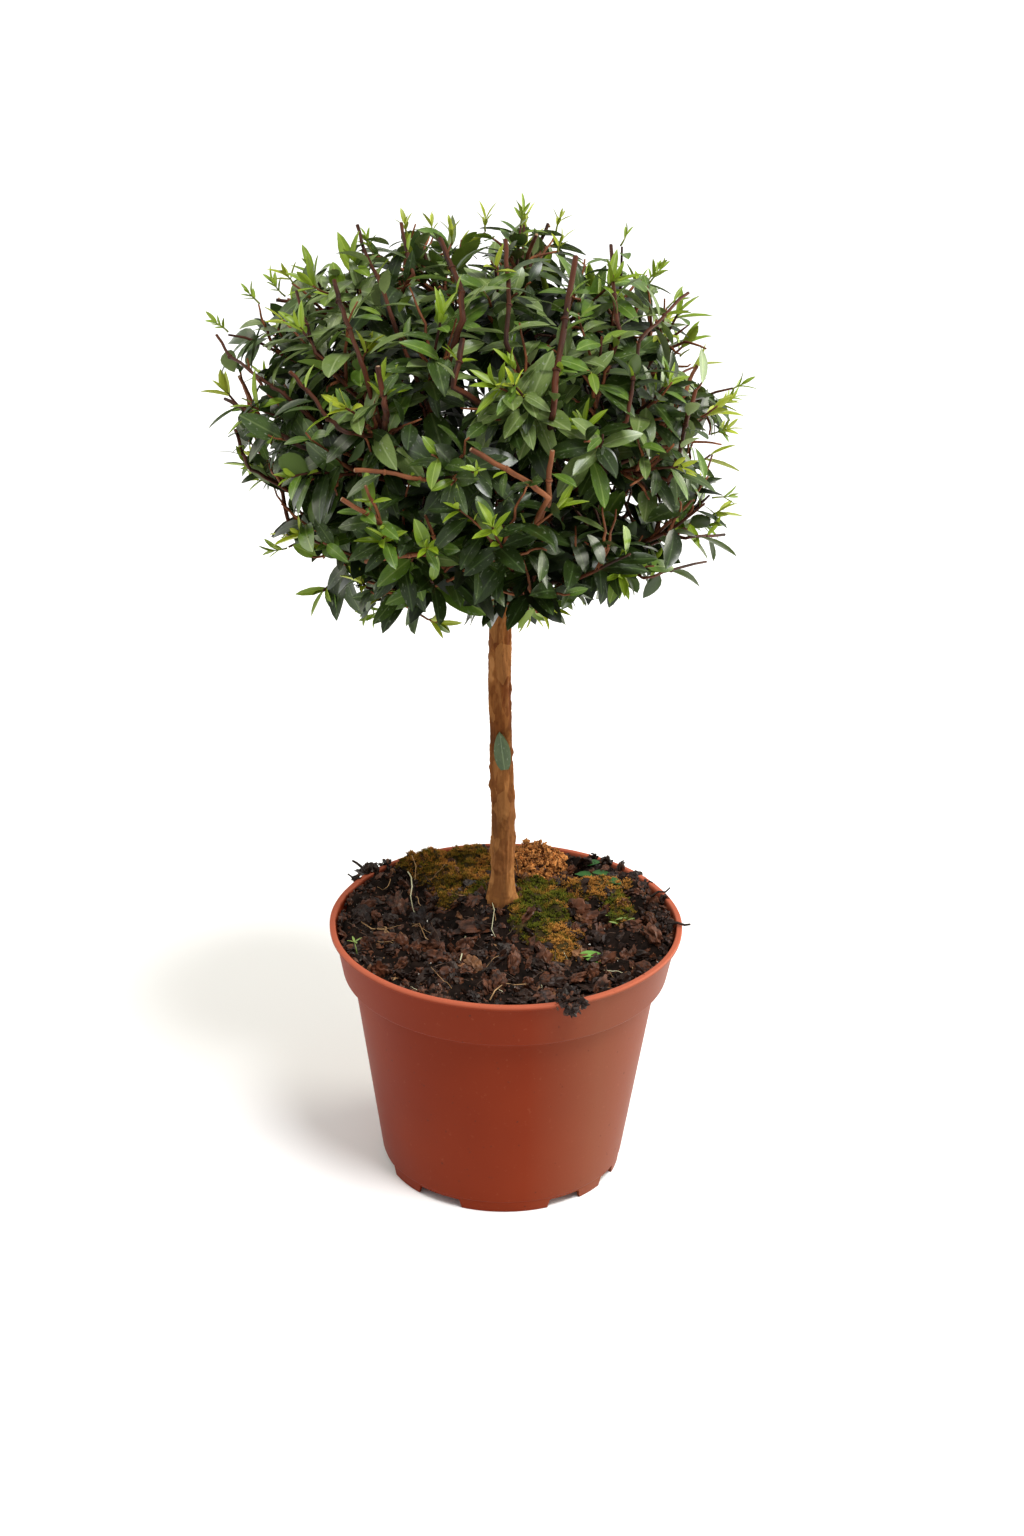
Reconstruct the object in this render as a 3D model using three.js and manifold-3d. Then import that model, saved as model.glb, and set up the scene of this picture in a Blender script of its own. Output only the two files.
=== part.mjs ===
// A standard (lollipop) myrtle in its nursery pot.
// Units are millimetres, +Z is up, the front is -Y.
// The origin is the centre of the pot's flat underside.
import * as THREE from 'three';
import { mergeVertices } from 'three/addons/utils/BufferGeometryUtils.js';
import Module from 'manifold-3d';

const wasm = await Module();
wasm.setup();

// ---------------------------------------------------------------- driving sizes

// Pot: a 15 cm round nursery pot.
const POT_HEIGHT = 113.2;
const RIM_RADIUS = 75;
const LIP_WIDTH = 2.4;
const FLANGE_HEIGHT = 2.2;
const COLLAR_TOP_RADIUS = 73;
const COLLAR_FOOT_RADIUS = 69.5;
const COLLAR_FOOT_Z = 91.6;
const BODY_TOP_RADIUS = 65.3;
const BODY_FOOT_RADIUS = 52.4;
const FOOT_HEIGHT = 5.6;
const FOOT_INSET = 0.45;
const WALL = 1.5;
const FLOOR_Z = 4;
const FLOOR_THICKNESS = 1.6;
const CENTRE_DISC_RADIUS = 20.5;
const POT_SIDES = 32;
// Notches in the foot: middle angle from the front towards +X, and width, in degrees.
const FOOT_NOTCHES = [[-80, 22], [-31, 15], [32, 11], [62, 8], [115, 15], [160, 12], [-145, 15]];
const DRAIN_RADIUS = 4.5;
const DRAIN_RING_RADIUS = 38;

// Compost and moss.
const GAP = 0.3;
const SOIL_LEVEL = 105;
const SOIL_SIDES = 24;
// Each cushion: name, x, y, half width, half depth, height.
const MOSS_CUSHIONS = [
  ['moss_back_left', -26, 35, 20, 21, 5.5],
  ['moss_back', 14, 55, 17, 12, 6.5],
  ['moss_front', 22, 8, 16, 18, 5],
  ['moss_right', 46, 28, 12, 11, 4],
];

// Trunk: foot on the compost, lean, and the swollen head where the boughs fork.
const TRUNK_FOOT = new THREE.Vector3(-2, 15, 106);
const FORK = new THREE.Vector3(-4.4, 16.5, 266);
const TRUNK_RADIUS_LOW = 5.1;
const TRUNK_RADIUS_HIGH = 4.5;
const FLARE = 1.9;
const FLARE_FALL = 6;
const HEAD_RADIUS = 7.8;
const TRUNK_SIDES = 10;
const TRUNK_BOW = 0.7;

// Crown: a clipped ball, flattened, reached by its furthest shoots.
const CROWN_CENTRE = new THREE.Vector3(-14, 16, 330);
const CROWN_REACH = new THREE.Vector3(105, 103, 80);
// Where the outline swells or draws in: degrees round the front view from +X
// towards the top, share of the reach added, and half width in degrees.
const CROWN_LOBES = [
  [159, 0.15, 8],
  [27, -0.11, 12],
  [-9, -0.07, 8],
  [-36, 0.11, 9],
  [197, -0.09, 16],
  [236, 0.12, 7],
];
const LOBE_LEAN = 25;

// Boughs: rings of limbs round the head, each with a turn, a rise and a thickness,
// and how far out the dense core of its foliage goes, as a share of its reach.
const BOUGH_RINGS = [
  { name: 'low', count: 7, turn: 12, rise: 11, swing: 5, base: 1.95, tip: 1.7, core: 0.6 },
  { name: 'high', count: 5, turn: 38, rise: 49, swing: 4, base: 1.9, tip: 1.6, core: 0.77 },
  { name: 'top', count: 1, turn: 0, rise: 88, swing: 0, base: 1.9, tip: 1.6, core: 0.78 },
];
const BOUGH_START = 8.3;
const BOUGH_SHARE = 0.36;
const BOUGH_SIDES = 6;
const BOUGH_BOW = 1.6;

// Foliage.
const CELL_MARGIN = 0.25;
const SHOOT_COUNT = 67;
const STEM_SHARE = 0.45;
const STEM_RADIUS = [1.7, 1.3];
const TWIG_RADIUS = [1.5, 1.0];
const LEAF_LENGTH = 36;
const LEAF_WIDTH = 14;
const LEAF_THICKNESS = 1.1;
const LEAF_SINK = 0.3;
const LEAF_SPACING = 10;
const LEAF_PAIRS = 3;
const LEAF_LIMIT = 1.05;
const LEAF_ROOM = 6;
const TUFT_LEAF_LENGTH = 24;
const TUFT_LEAF_WIDTH = 7.5;
// Tips of the long young shoots that the shears missed, past the rest of the crown.
const LONG_TIPS = [
  [3, 38, 419],
  [47, 30, 408],
  [-46, 30, 406],
  [-111, 16, 381],
  [-124, 12, 370],
  [-100, 0, 274],
  [-60, -12, 252],
  [46, -5, 260],
  [78, 0, 277],
  [90, 5, 300],
  [97, 16, 347],
  [-14, -98, 346],
  [8, 131, 338],
];
const LONG_TIP_ROOM = 27;
const LONG_LEAF_PAIRS = 2;
const LONG_LEAF_LIMIT = 1.2;
const CORE_OUTNESS = 0.79;
const CORE_SPACING = 1.6;
const CORE_FACETS = 1;
const LIMB_CLEARANCE = 1.2;
const SEED = 20417;
const MERGE_SIZE = 1e-3;

// ---------------------------------------------------------------- small helpers

const DEG = Math.PI / 180;
const UP = new THREE.Vector3(0, 0, 1);

// A seeded generator of numbers from 0 to 1.
function seeded(seed) {
  let state = seed >>> 0;
  return () => {
    state = (state + 0x6d2b79f5) >>> 0;
    let t = state;
    t = Math.imul(t ^ (t >>> 15), t | 1);
    t ^= t + Math.imul(t ^ (t >>> 7), t | 61);
    return ((t ^ (t >>> 14)) >>> 0) / 4294967296;
  };
}

function direction(turnDegrees, riseDegrees) {
  const turn = turnDegrees * DEG;
  const rise = riseDegrees * DEG;
  return new THREE.Vector3(
    Math.cos(rise) * Math.sin(turn),
    -Math.cos(rise) * Math.cos(turn),
    Math.sin(rise),
  );
}

// Two directions square to a third one.
function sideways(along) {
  const helper = Math.abs(along.z) < 0.9 ? UP : new THREE.Vector3(1, 0, 0);
  const u = new THREE.Vector3().crossVectors(helper, along).normalize();
  const v = new THREE.Vector3().crossVectors(along, u);
  return [u, v];
}

function pointOn(from, along, distance) {
  return from.clone().addScaledVector(along, distance);
}

function bezier(a, b, c, t) {
  const s = 1 - t;
  return new THREE.Vector3()
    .addScaledVector(a, s * s)
    .addScaledVector(b, 2 * s * t)
    .addScaledVector(c, t * t);
}

// The closed surface of a geometry, with its shared vertices merged.
function closed(geometry) {
  const bare = geometry.clone();
  bare.deleteAttribute('normal');
  bare.deleteAttribute('uv');
  return mergeVertices(bare, 1e-5);
}

function solid(geometry) {
  const surface = closed(geometry);
  return new wasm.Manifold(new wasm.Mesh({
    numProp: 3,
    vertProperties: new Float32Array(surface.attributes.position.array),
    triVerts: new Uint32Array(surface.index.array),
  }));
}

// Moves every vertex of a geometry by a rule.
function reshape(geometry, rule) {
  const positions = geometry.attributes.position;
  const point = new THREE.Vector3();
  for (let i = 0; i < positions.count; i += 1) {
    point.fromBufferAttribute(positions, i);
    const moved = rule(point);
    positions.setXYZ(i, moved.x, moved.y, moved.z);
  }
  return geometry;
}

// Does a joined solid stay one tidy closed surface when its corners are merged?
function staysSound(manifold) {
  const { numProp, vertProperties, triVerts } = manifold.getMesh();
  const corners = [];
  triVerts.forEach((vertex) => {
    corners.push(new THREE.Vector3().fromArray(vertProperties, vertex * numProp));
  });
  const surface = mergeVertices(new THREE.BufferGeometry().setFromPoints(corners), MERGE_SIZE);
  const index = surface.index.array;
  const edges = new Set();
  for (let i = 0; i < index.length; i += 3) {
    for (const [a, b] of [[0, 1], [1, 2], [2, 0]]) {
      const edge = `${index[i + a]}_${index[i + b]}`;
      if (index[i + a] === index[i + b] || edges.has(edge)) {
        return false;
      }
      edges.add(edge);
    }
  }
  return [...edges].every((edge) => edges.has(edge.split('_').reverse().join('_')));
}

// The outer shell of a joined solid: sealed hollows are filled and scraps dropped.
function outerShell(manifold) {
  const mesh = manifold.getMesh();
  const { numProp, vertProperties, triVerts } = mesh;
  const parent = new Map();
  const keyOf = (vertex) => {
    const at = vertex * numProp;
    return [0, 1, 2].map((k) => vertProperties[at + k].toFixed(5)).join();
  };
  const keys = [];
  for (let vertex = 0; vertex < vertProperties.length / numProp; vertex += 1) {
    keys.push(keyOf(vertex));
  }
  const root = (key) => {
    let top = key;
    while (parent.get(top) !== top) {
      top = parent.get(top);
    }
    parent.set(key, top);
    return top;
  };
  keys.forEach((key) => parent.set(key, key));
  for (let i = 0; i < triVerts.length; i += 3) {
    parent.set(root(keys[triVerts[i + 1]]), root(keys[triVerts[i]]));
    parent.set(root(keys[triVerts[i + 2]]), root(keys[triVerts[i]]));
  }
  const shells = new Map();
  for (let i = 0; i < triVerts.length; i += 3) {
    const name = root(keys[triVerts[i]]);
    if (!shells.has(name)) {
      shells.set(name, { volume: 0, corners: [] });
    }
    const shell = shells.get(name);
    const corners = [0, 1, 2].map((k) => {
      const at = triVerts[i + k] * numProp;
      return new THREE.Vector3().fromArray(vertProperties, at);
    });
    shell.volume += corners[0].dot(new THREE.Vector3().crossVectors(corners[1], corners[2])) / 6;
    shell.corners.push(...corners);
  }
  const largest = [...shells.values()].sort((a, b) => b.volume - a.volume)[0];
  const geometry = new THREE.BufferGeometry().setFromPoints(largest.corners);
  geometry.computeVertexNormals();
  return geometry;
}

const plant = new THREE.Group();

function addNode(name, geometry, colour, roughness) {
  const material = new THREE.MeshStandardMaterial({ color: colour, roughness, metalness: 0 });
  const mesh = new THREE.Mesh(geometry, material);
  mesh.name = name;
  plant.add(mesh);
  return mesh;
}

// A tapering limb: a round bar bent along a path from 0 to 1.
// Each ring stays square to the path, and end faces square to the given ends.
function limbGeometry(path, radius, sides, steps, frame) {
  const bar = new THREE.CylinderGeometry(1, 1, 1, sides, steps);
  return reshape(bar, (point) => {
    const t = point.y + 0.5;
    const along = frame || path(Math.min(1, t + 0.02)).sub(path(Math.max(0, t - 0.02))).normalize();
    const [u, v] = sideways(along);
    return path(t)
      .addScaledVector(u, point.z * radius(t))
      .addScaledVector(v, point.x * radius(t));
  });
}

// ---------------------------------------------------------------- pot

const COLLAR_SLOPE = (COLLAR_TOP_RADIUS - COLLAR_FOOT_RADIUS)
  / (POT_HEIGHT - FLANGE_HEIGHT - COLLAR_FOOT_Z);
const BODY_SLOPE = (BODY_TOP_RADIUS - BODY_FOOT_RADIUS) / (COLLAR_FOOT_Z - FOOT_HEIGHT);

// The radius of the inside of the pot's wall at a height.
function insideRadius(z) {
  if (z > COLLAR_FOOT_Z + WALL) {
    return COLLAR_FOOT_RADIUS - WALL + (z - COLLAR_FOOT_Z) * COLLAR_SLOPE;
  }
  return BODY_FOOT_RADIUS - WALL + (z - FOOT_HEIGHT) * BODY_SLOPE;
}

function profile(points) {
  return points.map(([r, z]) => new THREE.Vector2(r, z));
}

function lathe(points, sides) {
  const turned = new THREE.LatheGeometry(profile(points), sides);
  turned.rotateX(Math.PI / 2);
  return turned;
}

function wedge(middle, width, inner, outer, low, high, flare) {
  // A block between two angles of the foot ring, wider at its mouth by the flare.
  const shape = new THREE.Shape();
  const half = Math.tan((width / 2) * DEG) * outer;
  shape.moveTo(-half - flare, low);
  shape.lineTo(half + flare, low);
  shape.lineTo(half, high);
  shape.lineTo(-half, high);
  shape.closePath();
  const block = new THREE.ExtrudeGeometry(shape, { depth: outer - inner, bevelEnabled: false });
  block.rotateX(Math.PI / 2);
  block.translate(0, -inner, 0);
  block.rotateZ(middle * DEG);
  return solid(block);
}

function makePot() {
  const floorTop = FLOOR_Z + FLOOR_THICKNESS;
  const flangeZ = POT_HEIGHT - FLANGE_HEIGHT;
  const footRadius = BODY_FOOT_RADIUS - FOOT_INSET;
  const ledgeZ = COLLAR_FOOT_Z + WALL;
  let pot = solid(lathe([
    [0, 0],
    [CENTRE_DISC_RADIUS, 0],
    [CENTRE_DISC_RADIUS + 1.6, FLOOR_Z],
    [footRadius - WALL - 0.5, FLOOR_Z],
    [footRadius - WALL - 0.7, 0],
    [footRadius - 1, 0],
    [footRadius - 0.5, 0.5],
    [footRadius, FOOT_HEIGHT - 0.4],
    [BODY_FOOT_RADIUS, FOOT_HEIGHT],
    [BODY_TOP_RADIUS, COLLAR_FOOT_Z - 1],
    [BODY_TOP_RADIUS + 0.8, COLLAR_FOOT_Z],
    [COLLAR_FOOT_RADIUS - 0.5, COLLAR_FOOT_Z],
    [COLLAR_FOOT_RADIUS, COLLAR_FOOT_Z + 0.6],
    [COLLAR_TOP_RADIUS, flangeZ - 0.4],
    [RIM_RADIUS - 0.5, flangeZ],
    [RIM_RADIUS, flangeZ + 0.5],
    [RIM_RADIUS, POT_HEIGHT - 0.6],
    [RIM_RADIUS - 0.6, POT_HEIGHT],
    [RIM_RADIUS - LIP_WIDTH, POT_HEIGHT],
    [RIM_RADIUS - LIP_WIDTH - 0.4, POT_HEIGHT - 0.5],
    [insideRadius(ledgeZ + 0.1), ledgeZ],
    [insideRadius(ledgeZ - 2), ledgeZ - 2],
    [insideRadius(floorTop + 1), floorTop + 1],
    [insideRadius(floorTop) - 0.8, floorTop],
    [CENTRE_DISC_RADIUS + 3, floorTop],
    [CENTRE_DISC_RADIUS + 1.2, FLOOR_THICKNESS],
    [0, FLOOR_THICKNESS],
  ], POT_SIDES));
  const cutFrom = footRadius - WALL - 3;
  FOOT_NOTCHES.forEach(([middle, width]) => {
    pot = pot.subtract(wedge(middle, width, cutFrom, RIM_RADIUS, -1, FLOOR_Z + 0.2, 1.2));
    const drain = new THREE.CylinderGeometry(DRAIN_RADIUS, DRAIN_RADIUS, 6, 10);
    drain.rotateX(Math.PI / 2);
    drain.translate(0, -DRAIN_RING_RADIUS, FLOOR_Z + FLOOR_THICKNESS / 2);
    drain.rotateZ(middle * DEG);
    pot = pot.subtract(solid(drain));
  });
  addNode('pot', outerShell(pot), 0xa84c30, 0.55);
}

// ---------------------------------------------------------------- compost and moss

// Height of the compost: higher at the back, lumpy all over.
function soilHeight(x, y) {
  const rise = SOIL_LEVEL + y * 0.035;
  const lumps = 1.1 * Math.sin(x / 8.3 + 1.3) * Math.cos(y / 9.1 + 0.4);
  return rise + lumps + 0.8 * Math.sin((x + 1.7 * y) / 6.7);
}

function soilGeometry(raised) {
  const floorTop = FLOOR_Z + FLOOR_THICKNESS + GAP;
  const ledgeZ = COLLAR_FOOT_Z + WALL + GAP;
  const edge = insideRadius(SOIL_LEVEL);
  const rings = [1, 0.84, 0.64, 0.44, 0.22].map((share) => [edge * share, SOIL_LEVEL]);
  const heap = lathe([
    [0, FLOOR_THICKNESS + GAP],
    [CENTRE_DISC_RADIUS + 0.9, FLOOR_THICKNESS + GAP],
    [CENTRE_DISC_RADIUS + 2.7, floorTop],
    [insideRadius(floorTop) - 1.4, floorTop],
    [insideRadius(floorTop + 1) - GAP - 0.1, floorTop + 1.2],
    [insideRadius(ledgeZ - 2) - GAP - 0.2, ledgeZ - 2.2],
    [insideRadius(ledgeZ + 0.5) - GAP - 0.2, ledgeZ + 0.4],
    ...rings,
    [0, SOIL_LEVEL],
  ], SOIL_SIDES);
  return reshape(heap, (point) => {
    if (point.z < SOIL_LEVEL - 1e-3) {
      return point.clone();
    }
    const radius = Math.hypot(point.x, point.y);
    const z = soilHeight(point.x, point.y);
    const wallLimit = insideRadius(z) - GAP - 0.25;
    const shrink = radius > wallLimit ? wallLimit / radius : 1;
    return new THREE.Vector3(point.x * shrink, point.y * shrink, z + raised);
  });
}

// A round flat seat for the trunk's foot in the compost.
function footDisc(radius, low, high) {
  const disc = new THREE.CylinderGeometry(radius, radius, high - low, 16);
  disc.rotateX(Math.PI / 2);
  disc.translate(TRUNK_FOOT.x, TRUNK_FOOT.y, (low + high) / 2);
  return solid(disc);
}

function makeSoil() {
  const seat = TRUNK_FOOT.z - GAP;
  const heap = solid(soilGeometry(0))
    .add(footDisc(9.5, SOIL_LEVEL - 12, seat))
    .subtract(footDisc(9.6, seat, seat + 12));
  addNode('compost', outerShell(heap), 0x2e1f18, 0.95);
}

function makeMoss() {
  const under = solid(soilGeometry(GAP)).add(footDisc(9.8, SOIL_LEVEL - 12, TRUNK_FOOT.z));
  const trunkRoom = footDisc(TRUNK_RADIUS_LOW + FLARE + 1, SOIL_LEVEL - 12, SOIL_LEVEL + 20);
  MOSS_CUSHIONS.forEach(([name, x, y, halfWidth, halfDepth, height], index) => {
    const random = seeded(SEED + 700 + index);
    const phases = [random() * 6, random() * 6];
    const dome = new THREE.SphereGeometry(1, 12, 5);
    dome.rotateX(Math.PI / 2);
    reshape(dome, (point) => {
      const turn = Math.atan2(point.y, point.x);
      const ripple = 1 + 0.08 * Math.sin(3 * turn + phases[0])
        + 0.05 * Math.sin(5 * turn + phases[1]);
      const px = x + point.x * halfWidth * ripple;
      const py = y + point.y * halfDepth * ripple;
      return new THREE.Vector3(px, py, soilHeight(px, py) + point.z * height);
    });
    const cushion = solid(dome).subtract(under).subtract(trunkRoom);
    addNode(name, outerShell(cushion), 0x6b6a24, 0.95);
  });
}

// ---------------------------------------------------------------- trunk and boughs

function trunkCentre(z) {
  const t = (z - TRUNK_FOOT.z) / (FORK.z - TRUNK_FOOT.z);
  const centre = new THREE.Vector3().lerpVectors(TRUNK_FOOT, FORK, t);
  centre.x += TRUNK_BOW * Math.sin(2 * Math.PI * t);
  centre.z = z;
  return centre;
}

function trunkRadius(z) {
  const t = (z - TRUNK_FOOT.z) / (FORK.z - TRUNK_FOOT.z);
  const stem = TRUNK_RADIUS_LOW + (TRUNK_RADIUS_HIGH - TRUNK_RADIUS_LOW) * t;
  const flare = FLARE * Math.exp(-(z - TRUNK_FOOT.z) / FLARE_FALL);
  return stem + flare;
}

function makeTrunk() {
  const neck = FORK.z - 22;
  const heights = [0, 3, 7, 13, 24, 42, 62, 84, 106, 124, neck - TRUNK_FOOT.z];
  const outline = [[0, TRUNK_FOOT.z]];
  heights.forEach((rise) => outline.push([trunkRadius(TRUNK_FOOT.z + rise), TRUNK_FOOT.z + rise]));
  outline.push([TRUNK_RADIUS_HIGH + 0.7, FORK.z - 12]);
  [-50, -25, 0, 25, 50, 72].forEach((angle) => {
    const radius = Math.cos(angle * DEG) * HEAD_RADIUS;
    outline.push([radius, FORK.z + Math.sin(angle * DEG) * HEAD_RADIUS]);
  });
  outline.push([0, FORK.z + HEAD_RADIUS]);
  const column = lathe(outline, TRUNK_SIDES);
  const foot = TRUNK_FOOT.z;
  reshape(column, (point) => {
    const centre = trunkCentre(Math.min(point.z, FORK.z));
    const turn = Math.atan2(point.y, point.x);
    const low = Math.exp(-(point.z - foot) / FLARE_FALL);
    const lobes = 1 + 0.12 * low * Math.cos(5 * turn + 0.6);
    const knots = point.z < neck ? 1 + 0.03 * Math.sin(3 * turn + point.z / 9) : 1;
    const swell = lobes * knots;
    return new THREE.Vector3(centre.x + point.x * swell, centre.y + point.y * swell, point.z);
  });
  addNode('trunk', closed(column), 0x8c6845, 0.85);
}

// One leaf of a low shoot, lying against the front of the trunk.
function makeTrunkLeaf() {
  const middle = trunkCentre(188);
  const radius = trunkRadius(188) * 1.04;
  const blade = new THREE.OctahedronGeometry(1, 0);
  reshape(blade, (point) => new THREE.Vector3(
    middle.x + 0.3 + point.x * 3.6 + point.z * 0.8,
    middle.y - radius - GAP - 0.3 + point.y * 0.3,
    middle.z + point.z * 8.5,
  ));
  addNode('trunk_leaf', closed(blade), 0x2c5a35, 0.4);
}

// Share of the crown's reach in a direction given on the unit ball.
function swellAt(unit) {
  let share = 1;
  CROWN_LOBES.forEach(([turn, amount, halfWidth]) => {
    const rise = Math.sin(turn * DEG);
    const lobe = new THREE.Vector3(
      Math.cos(turn * DEG),
      rise * Math.sin(LOBE_LEAN * DEG),
      rise * Math.cos(LOBE_LEAN * DEG),
    );
    const apart = unit.angleTo(lobe) / (halfWidth * DEG);
    share += amount * Math.exp(-apart * apart / 2);
  });
  return share;
}

// How far out a point lies: 1 is on the surface that the furthest shoots reach.
function outness(point) {
  const ball = point.clone().sub(CROWN_CENTRE).divide(CROWN_REACH);
  const distance = ball.length();
  return distance / swellAt(ball.divideScalar(distance || 1));
}

// Distance from a start along a direction to a surface inside the crown's reach.
function distanceOut(from, along, share) {
  let near = 0;
  let far = 260;
  for (let i = 0; i < 24; i += 1) {
    const middle = (near + far) / 2;
    if (outness(pointOn(from, along, middle)) < share) {
      near = middle;
    } else {
      far = middle;
    }
  }
  return near;
}

// Distance from the fork to the crown's surface on the line through a point.
function reachFrom(point) {
  return distanceOut(FORK, point.clone().sub(FORK).normalize(), 1);
}

function boughList() {
  const random = seeded(SEED);
  const list = [];
  BOUGH_RINGS.forEach((ring) => {
    for (let i = 0; i < ring.count; i += 1) {
      const turn = ring.turn + (360 / ring.count) * (i + 0.24 * (random() - 0.5));
      const rise = ring.rise + ring.swing * (i % 2 ? 1 : -1) * (0.6 + 0.4 * random());
      const along = direction(turn, rise);
      const reach = distanceOut(FORK, along, 1);
      const bow = direction(turn + 90 * (random() - 0.5), 70).multiplyScalar(-BOUGH_BOW);
      list.push({
        name: `${ring.name}_${i + 1}`,
        along,
        reach,
        end: reach * BOUGH_SHARE,
        base: ring.base,
        tip: ring.tip,
        core: ring.core,
        bow,
      });
    }
  });
  return list;
}

const boughs = boughList();

function boughPoint(bough, t) {
  const distance = BOUGH_START + (bough.end - BOUGH_START) * t;
  return pointOn(FORK, bough.along, distance)
    .addScaledVector(bough.bow.clone().projectOnPlane(bough.along), Math.sin(Math.PI * t));
}

function makeBoughs() {
  boughs.forEach((bough) => {
    const radius = (t) => bough.base + (bough.tip - bough.base) * t;
    const path = (t) => boughPoint(bough, t);
    const limb = limbGeometry(path, radius, BOUGH_SIDES, 3, bough.along);
    addNode(`bough_${bough.name}`, closed(limb), 0x7a4a30, 0.8);
  });
}

// ---------------------------------------------------------------- foliage

// Is a point in this bough's share of the crown, clear of the shares next to it?
function inShare(bough, point, margin) {
  const out = point.clone().sub(FORK);
  return boughs.every((other) => {
    if (other === bough) {
      return true;
    }
    const between = bough.along.clone().sub(other.along).normalize();
    return out.dot(between) >= margin;
  });
}

function shareOf(point) {
  const out = point.clone().sub(FORK);
  return boughs.reduce((best, bough) => (
    out.dot(bough.along) > out.dot(best.along) ? bough : best
  ), boughs[0]);
}

function distanceToBar(point, from, to) {
  const bar = new THREE.Line3(from, to);
  return bar.closestPointToPoint(point, true, new THREE.Vector3()).distanceTo(point);
}

function clearOfLimbs(bough, point) {
  const trunkTop = Math.min(point.z, FORK.z);
  const trunk = trunkCentre(Math.max(trunkTop, TRUNK_FOOT.z));
  if (point.z < FORK.z + HEAD_RADIUS + 2) {
    const beside = Math.hypot(point.x - trunk.x, point.y - trunk.y);
    if (beside < HEAD_RADIUS + LIMB_CLEARANCE) {
      return false;
    }
  }
  const start = pointOn(FORK, bough.along, BOUGH_START);
  const end = pointOn(FORK, bough.along, bough.end);
  const room = bough.base + BOUGH_BOW + LIMB_CLEARANCE;
  return distanceToBar(point, start, end) > room || point.distanceTo(FORK) > bough.end + 2;
}

function inCore(bough, point, spacing, room) {
  return inShare(bough, point, spacing)
    && outness(point) < CORE_OUTNESS + room
    && point.distanceTo(FORK) < (bough.core + room) * reachFrom(point)
    && point.clone().sub(FORK).dot(bough.along) > bough.end + 3;
}

function fits(bough, points, limit) {
  return points.every((point) => (
    inShare(bough, point, CELL_MARGIN)
    && outness(point) < limit
    && !inCore(bough, point, 0, 0.04)
    && clearOfLimbs(bough, point)
  ));
}

// The corners of a leaf: root, tip, two edges at its widest, and its thickness.
function leafCorners(root, along, face, length, width, droop) {
  const across = new THREE.Vector3().crossVectors(face, along).normalize();
  const widest = pointOn(root, along, length * 0.42).addScaledVector(face, droop * 0.5);
  return {
    root,
    tip: pointOn(root, along, length).addScaledVector(face, -droop),
    left: pointOn(widest, across, width / 2),
    right: pointOn(widest, across, -width / 2),
    above: pointOn(widest, face, LEAF_THICKNESS / 2 + 0.6),
    below: pointOn(widest, face, 0.6 - LEAF_THICKNESS / 2),
  };
}

function leafSolid(corners) {
  const blade = new THREE.OctahedronGeometry(1, 0);
  return solid(reshape(blade, (point) => {
    if (Math.abs(point.x) > 0.5) {
      return point.x > 0 ? corners.tip : corners.root;
    }
    if (Math.abs(point.y) > 0.5) {
      return point.y > 0 ? corners.left : corners.right;
    }
    return point.z > 0 ? corners.above : corners.below;
  }));
}

// The ends of the shoots: points spread evenly over the crown, the nearest to each
// long tip drawn out to it.
function shootEnds() {
  const random = seeded(SEED + 1);
  const golden = Math.PI * (3 - Math.sqrt(5));
  const ends = [];
  for (let i = 0; i < SHOOT_COUNT; i += 1) {
    const height = 1 - (2 * (i + 0.5)) / SHOOT_COUNT;
    const ring = Math.sqrt(1 - height * height);
    const turn = golden * i + 0.3 * random();
    const unit = new THREE.Vector3(ring * Math.cos(turn), ring * Math.sin(turn), height);
    const share = (0.93 + 0.07 * random()) * swellAt(unit);
    const end = unit.multiply(CROWN_REACH).multiplyScalar(share).add(CROWN_CENTRE);
    const trunk = trunkCentre(FORK.z);
    const beside = Math.hypot(end.x - trunk.x, end.y - trunk.y);
    if (end.z > FORK.z || beside > 2.4 * HEAD_RADIUS) {
      ends.push({ end, pairs: LEAF_PAIRS, limit: LEAF_LIMIT });
    }
  }
  LONG_TIPS.forEach((tip) => {
    const end = new THREE.Vector3(...tip);
    const out = end.clone().sub(CROWN_CENTRE).normalize();
    end.addScaledVector(out, -LONG_TIP_ROOM);
    const nearest = ends.reduce((best, shoot) => (
      shoot.end.distanceTo(end) < best.end.distanceTo(end) ? shoot : best
    ));
    Object.assign(nearest, { end, pairs: LONG_LEAF_PAIRS, limit: LONG_LEAF_LIMIT });
  });
  return ends;
}

// A twig's route from its stem to the end of its shoot.
function twigRoute(bough, end) {
  const stemLength = (bough.reach - bough.end) * STEM_SHARE;
  const angle = end.clone().sub(FORK).angleTo(bough.along) / DEG;
  const joins = Math.min(0.95, Math.max(0.15, 1 - angle / 38));
  const start = pointOn(FORK, bough.along, bough.end + GAP + stemLength * joins);
  const span = start.distanceTo(end);
  const bend = start.clone().lerp(end, 0.45).addScaledVector(bough.along, span * 0.12);
  return (t) => bezier(start, bend, end, t);
}

// The first route that keeps to the bough's share as its end is drawn towards
// the middle of that share.
function drawnIn(bough, end) {
  const middle = pointOn(FORK, bough.along, bough.reach);
  for (let pull = 0; pull < 0.6; pull += 0.07) {
    const drawn = end.clone().lerp(middle, pull);
    const size = outness(end) / outness(drawn);
    drawn.sub(CROWN_CENTRE).multiplyScalar(size).add(CROWN_CENTRE);
    const route = twigRoute(bough, drawn);
    const joints = [0.3, 0.6, 1].map((t) => route(t));
    if (joints.every((joint) => inShare(bough, joint, CELL_MARGIN + TWIG_RADIUS[0]))) {
      return route;
    }
  }
  return null;
}

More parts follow.
